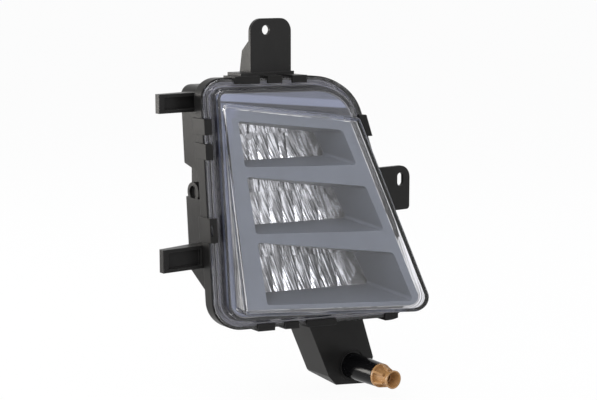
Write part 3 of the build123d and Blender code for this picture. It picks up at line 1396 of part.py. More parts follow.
with BuildPart() as rear_cover_screws:
    with BuildSketch(rear_plane(HOUSING_REAR + COVER_FLANGE_WALL)):
        with GridLocations(cover_screw_across, cover_screw_up, 2, 2):
            Circle(COVER_SCREW_HEAD / 2)
    extrude(amount=COVER_SCREW_HEAD_HEIGHT)
    with BuildSketch(rear_plane(HOUSING_REAR + COVER_FLANGE_WALL)):
        with GridLocations(cover_screw_across, cover_screw_up, 2, 2):
            Circle(COVER_SCREW / 2)
    extrude(amount=-COVER_FLANGE_WALL - COVER_SCREW_GRIP)
rear_cover_screws.part.label = "rear_cover_screws"
export_step(rear_cover_screws.part, "parts/rear_cover_screws.step")

with BuildPart() as driver_board:
    with BuildSketch(rear_plane(driver_rear)):
        RectangleRounded(driver_width, driver_height, COVER_RADIUS - COVER_WALL - DRIVER_MARGIN)
    extrude(amount=-DRIVER_WALL)
    with BuildSketch(rear_plane(driver_rear - DRIVER_WALL)):
        for x, drop, width, height in COMPONENTS:
            with Locations((x, drop)):
                Rectangle(width, height)
    extrude(amount=-COMPONENT_HEIGHT)
driver_board.part.label = "driver_board"
export_step(driver_board.part, "parts/driver_board.step")

with BuildPart() as connector_pins:
    with BuildSketch(rear_plane(driver_rear)):
        with Locations((0, SOCKET_DROP)):
            with GridLocations(PIN_PITCH, 1, PIN_COUNT, 1):
                Rectangle(PIN_SIDE, PIN_SIDE)
    extrude(amount=cover_back + PIN_REACH - driver_rear)
connector_pins.part.label = "connector_pins"
export_step(connector_pins.part, "parts/connector_pins.step")

# Breather cap on its stub
stub_end = HOUSING_REAR + BREATHER_STUB_LENGTH
with BuildPart() as breather_cap:
    with BuildSketch(breather_plane(HOUSING_REAR + BREATHER_GAP)):
        Circle(BREATHER_CAP / 2)
    extrude(amount=stub_end + BREATHER_CAP_WALL - HOUSING_REAR - BREATHER_GAP)
    with BuildSketch(breather_plane(HOUSING_REAR + BREATHER_GAP)):
        Circle(BREATHER_CAP / 2 - BREATHER_CAP_WALL)
    extrude(amount=stub_end - HOUSING_REAR - BREATHER_GAP, mode=Mode.SUBTRACT)
    fillet(breather_cap.faces().sort_by(Axis.Y)[-1].edges(), BREATHER_CAP_WALL / 2)
breather_cap.part.label = "breather_cap"
export_step(breather_cap.part, "parts/breather_cap.step")
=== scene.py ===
"""Dresses the auxiliary driving light: finishes for every piece, a pale stage, soft light and a camera."""

import math

import bpy
from bpy.props import FloatProperty, FloatVectorProperty, PointerProperty
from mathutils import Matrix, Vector


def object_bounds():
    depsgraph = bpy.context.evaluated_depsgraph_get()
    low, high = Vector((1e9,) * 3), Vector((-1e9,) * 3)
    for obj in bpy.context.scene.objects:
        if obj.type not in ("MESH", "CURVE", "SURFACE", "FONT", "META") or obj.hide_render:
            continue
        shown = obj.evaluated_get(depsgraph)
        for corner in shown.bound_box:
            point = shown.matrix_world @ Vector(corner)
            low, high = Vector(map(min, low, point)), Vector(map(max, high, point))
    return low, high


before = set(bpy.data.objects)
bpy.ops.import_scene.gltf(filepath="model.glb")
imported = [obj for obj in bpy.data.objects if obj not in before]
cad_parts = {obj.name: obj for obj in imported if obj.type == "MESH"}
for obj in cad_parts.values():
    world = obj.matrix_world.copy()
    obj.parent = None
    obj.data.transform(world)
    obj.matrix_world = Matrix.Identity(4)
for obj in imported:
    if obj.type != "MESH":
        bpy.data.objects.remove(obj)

bl_info = {
    "name": "Driving Light Finish",
    "version": (1, 0, 0),
    "blender": (4, 5, 0),
    "location": "View3D > Sidebar > Driving Light",
    "description": "Finishes, stage and camera for an auxiliary driving light",
    "category": "Material",
}


def slope(degrees):
    """How far a line that leans by an angle shifts for each unit along."""
    return math.tan(math.radians(degrees))


def facing(sweep):
    """Direction that an upright face looks in when it is turned to the left by an angle in degrees."""
    return (-math.sin(math.radians(sweep)), -math.cos(math.radians(sweep)), 0.0)


CAD_BOX = [list(corner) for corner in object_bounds()]
RECESSES = ("upper", "middle", "lower")
WHITE = (1.0, 1.0, 1.0, 1.0)

# Lens and bezel: planes that they are set out from and the window's top left corner, in metres
RIM_SWEEP = 16.0
RIM_FACING = facing(RIM_SWEEP)
RIM_FORWARD = 0.009
RIM_PLANE = RIM_FORWARD * math.cos(math.radians(RIM_SWEEP))
WINDOW_SWEEP = 28.0
WINDOW_FACING = facing(WINDOW_SWEEP)
WINDOW_LEFT = -0.0374
WINDOW_TOP = -0.0476
WINDOW_TOP_FALL = slope(7.8)

# Recess bank in the bezel: straight sides, each as an inward direction and where it starts along it
BANK_LEFT_LEAN = slope(6.2)
BANK_RIGHT_LEAN = slope(18.9)
BANK_ACROSS = (1.0, 0.0, BANK_RIGHT_LEAN)
BANK_SIDES = (
    ((1.0, 0.0, BANK_LEFT_LEAN), -0.036),
    ((-1.0, 0.0, -BANK_RIGHT_LEAN), -0.018),
    ((0.0, 0.0, -1.0), 0.0582),
    ((0.0, 0.0, 1.0), -0.1893),
)
BANK_BLUR = 0.0005

# Noise and waves: fineness, the span that holds most of the noise, and the wave node's radians per unit
GRAIN_DETAIL = 3.0
MOTTLE_GRAINS = 40.0
MOTTLE_ROUGHNESS = 0.6
NOISE_SPAN = (0.3, 0.7)
WAVE_RADIANS = 20.0

# Cosines between which a face turns into an edge with a painted highlight, a wall or the bezel's bright trim
EDGE_TURN = (0.99, 0.80)
WALL_TURN = (0.85, 0.55)
TRIM_TURN = (0.96, 0.86)

# Moulded plastic: tones as shares of its colour, spread of its roughness and samples of its rounded edges
MOULD_TONES = (0.82, 1.15)
MOULD_SPREAD = 0.05
EDGE_SAMPLES = 4
COVER_TONE = 1.2

# Bezel paint: places along the rim's direction in metres, and tones as shares of its colour, the last a
# painted shade on the walls of its recesses
BEZEL_FOOT = RIM_PLANE - 0.0020
BEZEL_FOOT_BLUR = 0.0014
BEZEL_SHELF = RIM_PLANE + 0.0024
BEZEL_SHELF_BLUR = 0.0012
BEZEL_TONES = (0.94, 1.05)
BEZEL_ROUGHNESS = 0.42
BEZEL_GRAIN_DEPTH = 0.00002
RECESS_PAINTED_SHADE_TONE = 0.76

# Bands of painted shade and painted highlight on the shelf above the window: levels at its left side in
# metres, and shares of the shelf's colour
BAND_FALL = slope(5.0)
BAND_BLUR = 0.0010
PAINTED_SHADE_TOP = -0.0464
PAINTED_HIGHLIGHT_TOP = -0.0412
PAINTED_SHADE_TONE = 0.18
PAINTED_HIGHLIGHT_TONE = 1.5
UPPER_PAINTED_SHADE_TONE = 0.72

# Bright trim up to the window, partly metallic, its streaks a painted highlight and painted dark reflection:
# layers in metres, the span of noise that is streaked, and its shine
TRIM_LAYER = 0.0009
TRIM_RUN = 0.03
TRIM_DEPTH = 0.0004
TRIM_HIGHLIGHT_STREAKS = (0.35, 0.47)
TRIM_PAINTED_DARK = 0.05
TRIM_METAL = 0.4
TRIM_ROUGHNESS = 0.12

# Lens: haze of its front and streaks of painted light and shade in its walls, in metres and as shares of its
# tint
LENS_IOR = 1.5
HAZE_WIDTH = 0.02
HAZE_TONE = 0.97
HAZE_ROUGHNESS = 0.012
LENS_LAYER = 0.0016
LENS_RUN = 0.05
LENS_PAINTED_STREAKS = (0.42, 0.54)
LENS_PAINTED_DARK = 0.4

# Bare metal: fineness and tone of its dark mottling, and how much duller the pale is
METAL_DETAIL = 4.0
METAL_DARK = 0.85
METAL_DULL = 1.5

# Reflectors' colour, its streaks and dark patches a painted reflection: streaks and patches in metres, and
# tones as shares of the metal's colour
STREAK_ACROSS = (1.0, 0.0, slope(8.0))
TONE_WIDTH = 0.0019
TONE_RUN = 0.014
TONE_PAINTED_REFLECTION_STREAKS = (0.41, 0.57)
TONE_PAINTED_REFLECTION_DARK = 0.34
TONE_ROUGHNESS = (0.16, 0.08)
PATCH_WIDTH = 0.011
PATCH_UPRIGHT = 1.6
PATCH_EDGE = (0.40, 0.46)
PATCH_PAINTED_REFLECTION_DARK = 0.38

# Reflectors' relief in metres, and slopes that turn their shine up, down and to the right
STREAK_WIDTH = 0.0016
STREAK_RUN = 0.03
STREAK_DEPTH = 0.0006
RIBS_START = 0.0
RIBS_FADE = 0.004
RIB_PITCH = 0.0011
RIB_DEPTH = 0.0003
REFLECTOR_LEANS = (0.18, 0.06, -0.03)
RIGHT_LEAN = 0.3
RIGHT_REACH = 0.1

# Stage: places and widths of the lamps and the floor in metres, and how white the floor looks
KEY_PLACE = (-0.9, -0.6, 0.9)
SIDE_PLACE = (-0.9, 0.9, -0.02)
FILL_PLACE = (0.9, -1.0, 0.3)
TOP_PLACE = (0.1, 0.4, 1.2)
LAMP_WIDTH = 0.9
SIDE_WIDTH = 0.45
FLOOR_WIDTH = 60.0
FLOOR_ROUGHNESS = 0.7
FLOOR_WHITE = 0.95
SURROUND_STRENGTH = 0.45

# Camera: width of its sensor in millimetres and the nearest that it sees in metres
SENSOR_WIDTH = 36.0
NEAREST_SEEN = 0.01

# Sockets of the colour mix node
MIX_FACTOR = 0
MIX_FIRST = 6
MIX_SECOND = 7
MIX_RESULT = 2


def colour_prop(name, description, default):
    """Colour that a user can change."""
    return FloatVectorProperty(
        name=name, description=description, default=default, subtype="COLOR", size=3, min=0.0, max=1.0
    )


def length_prop(name, description, default):
    """Length in metres that a user can change."""
    return FloatProperty(name=name, description=description, default=default, unit="LENGTH", precision=5)


def angle_prop(name, description, default):
    """Angle in radians that a user can change, written here in degrees."""
    return FloatProperty(name=name, description=description, default=math.radians(default), subtype="ANGLE")


def power_prop(name, description, default):
    """Power of a lamp, in watts, that a user can change."""
    return FloatProperty(name=name, description=description, default=default, subtype="POWER")


class FinishSettings(bpy.types.PropertyGroup):
    """Colours, grain and edges of the light's finishes."""

    housing_colour: colour_prop("Housing", "Black moulded plastic of the housing", (0.016, 0.0155, 0.015))
    bezel_colour: colour_prop("Bezel", "Blue-grey satin paint of the bezel", (0.133, 0.149, 0.178))
    # Shelf: paler than the bezel, a painted sheen
    shelf_sheen_colour: colour_prop("Shelf", "Paler paint on the bezel's shelf", (0.160, 0.178, 0.240))
    foot_colour: colour_prop("Foot", "Dark paint at the bezel's foot", (0.020, 0.020, 0.026))
    # Trim: partly metallic, its brightness partly a painted highlight
    trim_metal_and_highlight_colour: colour_prop("Trim", "Bright walls that raise the bezel to the window", (0.80, 0.80, 0.77))
    lens_colour: colour_prop("Lens", "Tint of the clear lens", (0.965, 0.965, 0.99))
    sealant_colour: colour_prop("Sealant", "Grey sealant behind the lens", (0.17, 0.17, 0.22))
    reflector_colour: colour_prop("Reflector", "Metallised face of the reflectors", (0.88, 0.89, 0.91))
    emitter_colour: colour_prop("Emitter", "Yellow face of the emitters", (0.80, 0.62, 0.12))
    led_board_colour: colour_prop("Emitter board", "White emitter boards", (0.78, 0.78, 0.76))
    pad_colour: colour_prop("Pad", "Grey pads behind the emitter boards", (0.35, 0.36, 0.40))
    driver_board_colour: colour_prop("Driver board", "Green driver board", (0.03, 0.15, 0.06))
    carrier_colour: colour_prop("Carrier", "Cast aluminium of the carrier", (0.60, 0.61, 0.62))
    steel_colour: colour_prop("Steel", "Plated steel of screws and pins", (0.55, 0.55, 0.56))
    bush_colour: colour_prop("Bush", "White acetal of bushes and nut", (0.75, 0.74, 0.70))
    adjuster_colour: colour_prop("Adjuster", "Tan nylon of the adjuster", (0.38, 0.203, 0.077))
    tube_colour: colour_prop("Tube", "Glossy black plastic of the adjuster's tube", (0.006, 0.006, 0.0065))
    rubber_colour: colour_prop("Rubber", "Black rubber of rings and gaskets", (0.02, 0.02, 0.02))
    contact_colour: colour_prop("Contact", "Brass of the plug's contacts", (0.75, 0.57, 0.27))
    grain_size: length_prop("Grain", "Width of the moulded grain", 0.0006)
    edge_radius: length_prop("Edge", "Radius that light catches on moulded edges", 0.0006)
    lens_edge: length_prop("Lens edge", "Radius that light catches on the lens's edges", 0.0005)


class StageSettings(bpy.types.PropertyGroup):
    """Camera, floor, surround and lamps."""

    camera_azimuth: angle_prop("Azimuth", "Turn of the camera round the light", -36.0)
    camera_elevation: angle_prop("Elevation", "Height of the camera above the horizon", 9.0)
    camera_place: FloatVectorProperty(
        name="Place",
        description="Where the camera stands",
        default=(-0.5722, -0.8276, 0.0420),
        subtype="XYZ",
        unit="LENGTH",
        size=3,
    )
    camera_lens: FloatProperty(
        name="Lens", description="Focal length on a 36 mm sensor, in mm", default=88.6, unit="CAMERA"
    )
    floor_drop: length_prop("Floor drop", "Gap between the light's lowest point and the floor", 0.004)
    floor_colour: colour_prop("Floor", "Pale floor under its white look", (0.86, 0.86, 0.86))
    surround_colour: colour_prop("Surround", "Soft light from all round", (0.9, 0.93, 1.0))
    side_colour: colour_prop("Side colour", "Warm light of the side lamp", (1.0, 0.965, 0.91))
    key_power: power_prop("Key", "Power of the key lamp", 9.0)
    side_power: power_prop("Side", "Power of the side lamp", 12.0)
    fill_power: power_prop("Fill", "Power of the fill lamp", 3.0)
    top_power: power_prop("Top", "Power of the top lamp", 9.0)


def settings():
    """The light's finish settings on this scene."""
    return bpy.context.scene.lamp_finish


def opaque(colour):
    """RGB as RGBA."""
    return (colour[0], colour[1], colour[2], 1.0)


def shaded(colour, factor):
    """RGBA of a colour made lighter or darker."""
    return (colour[0] * factor, colour[1] * factor, colour[2] * factor, 1.0)


class Finish:
    """A material's node tree in the making, with its shader."""

    def __init__(self, name, **sockets):
        self.material = bpy.data.materials.new(name)
        self.material.use_nodes = True
        self.nodes = self.material.node_tree.nodes
        self.links = self.material.node_tree.links
        self.shader = self.nodes["Principled BSDF"]
        self.place = self.nodes.new("ShaderNodeTexCoord").outputs["Object"]
        self.normal = self.nodes.new("ShaderNodeNewGeometry").outputs["Normal"]
        for socket, value in sockets.items():
            self.shader.inputs[socket.replace("_", " ")].default_value = value

    def put(self, value, socket):
        """Links another socket to a socket, or sets it to a plain value."""
        if isinstance(value, bpy.types.NodeSocket):
            self.links.new(value, socket)
        else:
            socket.default_value = value

    def feed(self, name, source):
        """Links a source to one of the shader's sockets."""
        self.put(source, self.shader.inputs[name])

    def show(self, surface):
        """Makes a shader the material's surface."""
        self.put(surface, self.nodes["Material Output"].inputs["Surface"])

    def worked(self, kind, operation, values):
        """Outputs of a node that works on sockets and plain values."""
        node = self.nodes.new(kind)
        node.operation = operation
        for socket, value in zip(node.inputs, values):
            self.put(value, socket)
        return node.outputs

    def number(self, operation, *values):
        """Number worked out from numbers."""
        return self.worked("ShaderNodeMath", operation, values)["Value"]

    def vector(self, operation, *values):
        """Vector worked out from vectors, or from a number that stands for all three of its parts."""
        return self.worked("ShaderNodeVectorMath", operation, values)["Vector"]

    def dot(self, *values):
        """Dot product of two vectors."""
        return self.worked("ShaderNodeVectorMath", "DOT_PRODUCT", values)["Value"]

    def ramp(self, source, low, high, to_low=0.0, to_high=1.0):
        """Maps low..high of a number to to_low..to_high, and no further."""
        node = self.nodes.new("ShaderNodeMapRange")
        self.put(source, node.inputs["Value"])
        node.inputs["From Min"].default_value = low
        node.inputs["From Max"].default_value = high
        node.inputs["To Min"].default_value = to_low
        node.inputs["To Max"].default_value = to_high
        return node.outputs["Result"]

    def between(self, share, first, second):
        """Number between two, by a share from zero to one."""
        return self.ramp(share, 0.0, 1.0, first, second)

    def blend(self, share, first, second):
        """Colour between two, by a share from zero to one."""
        node = self.nodes.new("ShaderNodeMix")
        node.data_type = "RGBA"
        self.put(share, node.inputs[MIX_FACTOR])
        self.put(first, node.inputs[MIX_FIRST])
        self.put(second, node.inputs[MIX_SECOND])
        return node.outputs[MIX_RESULT]

    def clouds(self, place, scale, detail, roughness):
        """Noise at a place."""
        node = self.nodes.new("ShaderNodeTexNoise")
        self.put(place, node.inputs["Vector"])
        node.inputs["Scale"].default_value = scale
        node.inputs["Detail"].default_value = detail
        node.inputs["Roughness"].default_value = roughness
        return node.outputs["Fac"]

    def noise(self, width, detail=2.0, roughness=0.5, upright=1.0):
        """Noise with features of about the given width, in metres, drawn out upright."""
        squeezed = self.vector("MULTIPLY", self.place, (1.0, 1.0, 1.0 / upright))
        return self.clouds(squeezed, 1.0 / width, detail, roughness)

    def layers(self, direction, thickness, run, detail=2.0, roughness=0.5):
        """Noise in layers of the given thickness across a direction, which run on for some length."""
        layer = self.number("MULTIPLY", self.along(direction), 1.0 / thickness)
        across = self.vector("MULTIPLY", direction, layer)
        onward = self.vector("MULTIPLY_ADD", self.place, (1.0 / run, 1.0 / run, 1.0 / run), across)
        return self.clouds(onward, 1.0, detail, roughness)

    def grain(self):
        """Fine moulded grain."""
        return self.noise(settings().grain_size, GRAIN_DETAIL)

    def mottle(self):
        """Faint mottling, from zero to one."""
        wide = self.noise(settings().grain_size * MOTTLE_GRAINS, GRAIN_DETAIL, MOTTLE_ROUGHNESS)
        return self.ramp(wide, *NOISE_SPAN)

    def ribs(self, pitch):
        """Level ribs at the given pitch, in metres."""
        node = self.nodes.new("ShaderNodeTexWave")
        node.bands_direction = "Z"
        node.inputs["Scale"].default_value = math.tau / WAVE_RADIANS / pitch
        node.inputs["Detail"].default_value = 0.0
        self.put(self.place, node.inputs["Vector"])
        return node.outputs["Fac"]

    def along(self, direction):
        """Distance of the surface along a direction."""
        return self.dot(self.place, direction)

    def turned_from(self, direction, turn):
        """Zero where a face looks along a direction, either way, and one where it has turned from it."""
        return self.ramp(self.number("ABSOLUTE", self.dot(self.normal, direction)), *turn)

    def within(self, sides, blur):
        """One inside straight sides and zero outside them."""
        inside = 1.0
        for direction, start in sides:
            past = self.ramp(self.along(direction), start, start + blur)
            inside = self.number("MINIMUM", inside, past)
        return inside

    def edge_normal(self, radius):
        """Normal that is rounded at edges."""
        node = self.nodes.new("ShaderNodeBevel")
        node.samples = EDGE_SAMPLES
        node.inputs["Radius"].default_value = radius
        return node.outputs["Normal"]

    def edge_mask(self, rounded):
        """One on rounded edges, which carry a painted highlight, and zero on flats."""
        return self.ramp(self.dot(rounded, self.normal), *EDGE_TURN)

    def bump(self, height, depth, normal=None):
        """Bump of the given depth, in metres, on the shader."""
        node = self.nodes.new("ShaderNodeBump")
        node.inputs["Distance"].default_value = depth
        self.put(height, node.inputs["Height"])
        if normal is not None:
            self.put(normal, node.inputs["Normal"])
        self.feed("Normal", node.outputs["Normal"])


def moulded(name, colour, roughness, grain_depth, edge_highlight=2.2, **sockets):
    """Moulded plastic: fine grain, faint mottling and paler edges, a painted highlight."""
    finish = Finish(name, **sockets)
    mottle = finish.mottle()
    edges = finish.edge_normal(settings().edge_radius)
    dark, pale = MOULD_TONES
    base = finish.blend(mottle, shaded(colour, dark), shaded(colour, pale))
    # Paler edges: painted highlight
    finish.feed("Base Color", finish.blend(finish.edge_mask(edges), base, shaded(colour, edge_highlight)))
    finish.feed("Roughness", finish.between(mottle, roughness - MOULD_SPREAD, roughness + MOULD_SPREAD))
    finish.bump(finish.grain(), grain_depth, edges)
    return finish.material


def above_line(finish, level, fall):
    """One above a line that starts at a level at the window's left side and falls to the right."""
    start = level + WINDOW_LEFT * fall
    return finish.ramp(finish.along((fall, 0.0, 1.0)), start - BAND_BLUR / 2, start + BAND_BLUR / 2)


def shelf_with_painted_bands(finish, colour):
    """Shelf colour with a band of painted shade along the window's top, then a band of painted highlight and
    a darker band of painted shade above it.
    """
    past_painted_highlight = above_line(finish, PAINTED_HIGHLIGHT_TOP, BAND_FALL)
    past_painted_shade = above_line(finish, PAINTED_SHADE_TOP, BAND_FALL)
    past_window = above_line(finish, WINDOW_TOP, WINDOW_TOP_FALL)
    painted_bands = finish.blend(past_painted_highlight, shaded(colour, PAINTED_HIGHLIGHT_TONE), shaded(colour, UPPER_PAINTED_SHADE_TONE))
    painted_bands = finish.blend(past_painted_shade, shaded(colour, PAINTED_SHADE_TONE), painted_bands)
    return finish.blend(past_window, opaque(colour), painted_bands)


def face_with_painted_recess_shade(finish, colour):
    """Mottled paint of the bezel's face, with painted shade on the walls of its recesses."""
    dark, pale = BEZEL_TONES
    flat = finish.blend(finish.mottle(), shaded(colour, dark), shaded(colour, pale))
    # Painted shade: darker colour on the recess walls
    wall = finish.turned_from(WINDOW_FACING, WALL_TURN)
    return finish.blend(wall, flat, shaded(colour, RECESS_PAINTED_SHADE_TONE))


def bezel_paint(name, look):
    """Satin paint on the face, with painted shade on its recess walls; paler on the shelf, a painted sheen,
    with bands of painted shade and highlight; dark at the foot; and bright trim up to the window carrying
    painted highlight streaks.
    """
    finish = Finish(name)
    depth = finish.along(RIM_FACING)
    risen = finish.ramp(depth, BEZEL_FOOT, BEZEL_FOOT + BEZEL_FOOT_BLUR)
    low = finish.blend(risen, opaque(look.foot_colour), shelf_with_painted_bands(finish, look.shelf_sheen_colour))
    front = finish.ramp(depth, BEZEL_SHELF, BEZEL_SHELF + BEZEL_SHELF_BLUR)
    bank = finish.within(BANK_SIDES, BANK_BLUR)
    face = face_with_painted_recess_shade(finish, look.bezel_colour)
    base = finish.blend(finish.number("MAXIMUM", front, bank), low, face)
    raised = finish.number("MULTIPLY", front, finish.turned_from(WINDOW_FACING, TRIM_TURN))
    trim = finish.between(finish.number("SUBTRACT", raised, bank), 0.0, 1.0)
    # Streaks on the trim: painted highlight and painted dark reflection
    layered = finish.layers(RIM_FACING, TRIM_LAYER, TRIM_RUN)
    painted_glint = finish.ramp(layered, *TRIM_HIGHLIGHT_STREAKS)
    bright = finish.blend(painted_glint, shaded(look.trim_metal_and_highlight_colour, TRIM_PAINTED_DARK), opaque(look.trim_metal_and_highlight_colour))
    finish.feed("Base Color", finish.blend(trim, base, bright))
    finish.feed("Metallic", finish.between(trim, 0.0, TRIM_METAL))
    finish.feed("Roughness", finish.between(trim, BEZEL_ROUGHNESS, TRIM_ROUGHNESS))
    waves = finish.number("MULTIPLY", layered, trim)
    grain = finish.number("MULTIPLY", finish.grain(), BEZEL_GRAIN_DEPTH / TRIM_DEPTH)
    edges = finish.edge_normal(settings().edge_radius)
    finish.bump(finish.number("ADD", waves, grain), TRIM_DEPTH, edges)
    return finish.material


def metal(name, colour, roughness, mottle_width, mottle_depth):
    """Bare metal with fine mottling."""
    finish = Finish(name, Metallic=1.0)
    mottle = finish.noise(mottle_width, METAL_DETAIL, MOTTLE_ROUGHNESS)
    pale = finish.ramp(mottle, *NOISE_SPAN)
    finish.feed("Base Color", finish.blend(pale, shaded(colour, METAL_DARK), opaque(colour)))
    finish.feed("Roughness", finish.between(pale, roughness, roughness * METAL_DULL))
    finish.bump(mottle, mottle_depth)
    return finish.material


def reflector_relief(finish, lean):
    """Height of a reflector's streaks and ribs with its leans, in units of the streaks' depth."""
    across = finish.along(BANK_ACROSS)
    streaks = finish.layers(STREAK_ACROSS, STREAK_WIDTH, STREAK_RUN)
    rib_height = finish.ramp(across, RIBS_START, RIBS_START + RIBS_FADE, 0.0, RIB_DEPTH / STREAK_DEPTH)
    ribs = finish.number("MULTIPLY", finish.ribs(RIB_PITCH), rib_height)
    upward = finish.along((0.0, 0.0, lean / STREAK_DEPTH))
    right_rise = RIGHT_LEAN * RIGHT_REACH / STREAK_DEPTH
    rightward = finish.ramp(across, RIBS_START, RIBS_START + RIGHT_REACH, 0.0, right_rise)
    relief = finish.number("ADD", streaks, ribs)
    return finish.number("ADD", relief, finish.number("ADD", upward, rightward))


def metallised(name, colour, lean):
    """Vacuum-metallised mirror with upright streaks, dark patches of painted reflection and level ribs
    towards its right end; the streaks in its colour are painted reflection too.
    """
    finish = Finish(name, Metallic=1.0)
    tone = finish.layers(STREAK_ACROSS, TONE_WIDTH, TONE_RUN)
    # Painted reflection: light and dark streaks and dark patches in the mirror's colour
    bright = finish.blend(finish.ramp(tone, *TONE_PAINTED_REFLECTION_STREAKS), shaded(colour, TONE_PAINTED_REFLECTION_DARK), opaque(colour))
    outside_painted_patches = finish.ramp(finish.noise(PATCH_WIDTH, upright=PATCH_UPRIGHT), *PATCH_EDGE)
    finish.feed("Base Color", finish.blend(outside_painted_patches, shaded(colour, PATCH_PAINTED_REFLECTION_DARK), bright))
    finish.feed("Roughness", finish.ramp(tone, *NOISE_SPAN, *TONE_ROUGHNESS))
    finish.bump(reflector_relief(finish, lean), STREAK_DEPTH)
    return finish.material


def clear_lens(name, colour):
    """Clear polycarbonate that lets the lamps through to what it covers, with streaks of painted light and
    shade in its walls.
    """
    finish = Finish(name, IOR=LENS_IOR, Transmission_Weight=1.0)
    haze = finish.ramp(finish.noise(HAZE_WIDTH, GRAIN_DETAIL), *NOISE_SPAN)
    clear = finish.blend(haze, shaded(colour, HAZE_TONE), opaque(colour))
    # Painted light and dark streaks in the lens's walls
    painted_glint = finish.ramp(finish.layers(RIM_FACING, LENS_LAYER, LENS_RUN), *LENS_PAINTED_STREAKS)
    walls = finish.blend(painted_glint, shaded(colour, LENS_PAINTED_DARK), opaque(colour))
    finish.feed("Base Color", finish.blend(finish.turned_from(WINDOW_FACING, WALL_TURN), clear, walls))
    finish.feed("Roughness", finish.between(haze, 0.0, HAZE_ROUGHNESS))
    finish.feed("Normal", finish.edge_normal(settings().lens_edge))
    path = finish.nodes.new("ShaderNodeLightPath")
    through = finish.nodes.new("ShaderNodeBsdfTransparent")
    through.inputs["Color"].default_value = opaque(colour)
    mix = finish.nodes.new("ShaderNodeMixShader")
    shaders = (path.outputs["Is Shadow Ray"], finish.shader.outputs["BSDF"], through.outputs["BSDF"])
    for source, socket in zip(shaders, mix.inputs):
        finish.put(source, socket)
    finish.show(mix.outputs["Shader"])
    return finish.material


def paint(material, *nodes):
    """Puts a material on CAD nodes."""
    for name in nodes:
        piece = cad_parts[name]
        piece.data.materials.clear()
        piece.data.materials.append(material)


def each(prefix):
    """The three nodes of one kind, one for each recess."""
    return [f"{prefix}_{recess}" for recess in RECESSES]


class LAMP_OT_housing(bpy.types.Operator):
    """Finish the black housing moulding"""

    bl_idname = "lamp.housing"
    bl_label = "Housing"

    def execute(self, context):
        black = moulded(
            "housing black",
            settings().housing_colour,
            roughness=0.34,
            grain_depth=0.00004,
            edge_highlight=3.0,
            Specular_IOR_Level=0.12,
        )
        paint(black, "housing")
        return {"FINISHED"}


class LAMP_OT_lens(bpy.types.Operator):
    """Finish the clear lens and the sealant behind it"""

    bl_idname = "lamp.lens"
    bl_label = "Lens"

    def execute(self, context):
        look = settings()
        paint(clear_lens("lens clear", look.lens_colour), "outer_lens")
        sealant = moulded("sealant grey", look.sealant_colour, roughness=0.6, grain_depth=0.00005, edge_highlight=1.0)
        paint(sealant, "lens_sealant")
        return {"FINISHED"}


class LAMP_OT_bezel(bpy.types.Operator):
    """Finish the blue-grey bezel"""

    bl_idname = "lamp.bezel"
    bl_label = "Bezel"

    def execute(self, context):
        paint(bezel_paint("bezel blue-grey", settings()), "bezel")
        return {"FINISHED"}


class LAMP_OT_reflectors(bpy.types.Operator):
    """Finish the metallised reflectors"""

    bl_idname = "lamp.reflectors"
    bl_label = "Reflectors"

    def execute(self, context):
        for recess, lean in zip(RECESSES, REFLECTOR_LEANS):
            bright = metallised(f"reflector {recess}", settings().reflector_colour, lean)
            paint(bright, f"reflector_{recess}")
        return {"FINISHED"}


class LAMP_OT_emitters(bpy.types.Operator):
    """Finish the emitters, their boards and pads, and the driver board"""

    bl_idname = "lamp.emitters"
    bl_label = "Emitters"

    def execute(self, context):
        look = settings()
        white = moulded("board white", look.led_board_colour, roughness=0.4, grain_depth=0.00002, edge_highlight=1.0)
        green = moulded("board green", look.driver_board_colour, roughness=0.35, grain_depth=0.00002)
        grey = moulded("pad grey", look.pad_colour, roughness=0.7, grain_depth=0.00004)
        yellow = moulded("emitter yellow", look.emitter_colour, roughness=0.25, grain_depth=0.00002)
        paint(white, *each("led_board"))
        paint(green, "driver_board")
        paint(grey, *each("thermal_pad"))
        paint(yellow, *each("leds"))
        return {"FINISHED"}


class LAMP_OT_carrier(bpy.types.Operator):
    """Finish the carrier, its pins and bushes, the screws and the adjuster's nut and retainer"""

    bl_idname = "lamp.carrier"
    bl_label = "Carrier"

    def execute(self, context):
        look = settings()
        cast = metal(
            "aluminium cast", look.carrier_colour, roughness=0.42, mottle_width=0.0012, mottle_depth=0.00006
        )
        plated = metal(
            "steel plated", look.steel_colour, roughness=0.28, mottle_width=0.003, mottle_depth=0.00001
        )
        white = moulded("acetal white", look.bush_colour, roughness=0.35, grain_depth=0.00002, edge_highlight=1.1)
        paint(cast, "reflector_carrier")
        paint(plated, "reflector_screws", "rear_cover_screws", "adjuster_retainer")
        paint(white, "adjuster_nut")
        for side in ("left", "right"):
            paint(plated, f"pivot_pin_{side}")
            paint(white, f"pivot_bush_{side}")
        return {"FINISHED"}


class LAMP_OT_adjuster(bpy.types.Operator):
    """Finish the tan adjuster, its glossy tube and its ring"""

    bl_idname = "lamp.adjuster"
    bl_label = "Adjuster"

    def execute(self, context):
        look = settings()
        tan = moulded("nylon tan", look.adjuster_colour, roughness=0.38, grain_depth=0.00003, edge_highlight=1.5)
        glossy = moulded(
            "tube black",
            look.tube_colour,
            roughness=0.14,
            grain_depth=0.00001,
            edge_highlight=2.0,
            Specular_IOR_Level=0.09,
        )
        rubber = moulded("rubber black", look.rubber_colour, roughness=0.6, grain_depth=0.00005)
        paint(tan, "adjuster")
        paint(glossy, "adjuster_bush")
        paint(rubber, "adjuster_o_ring")
        return {"FINISHED"}


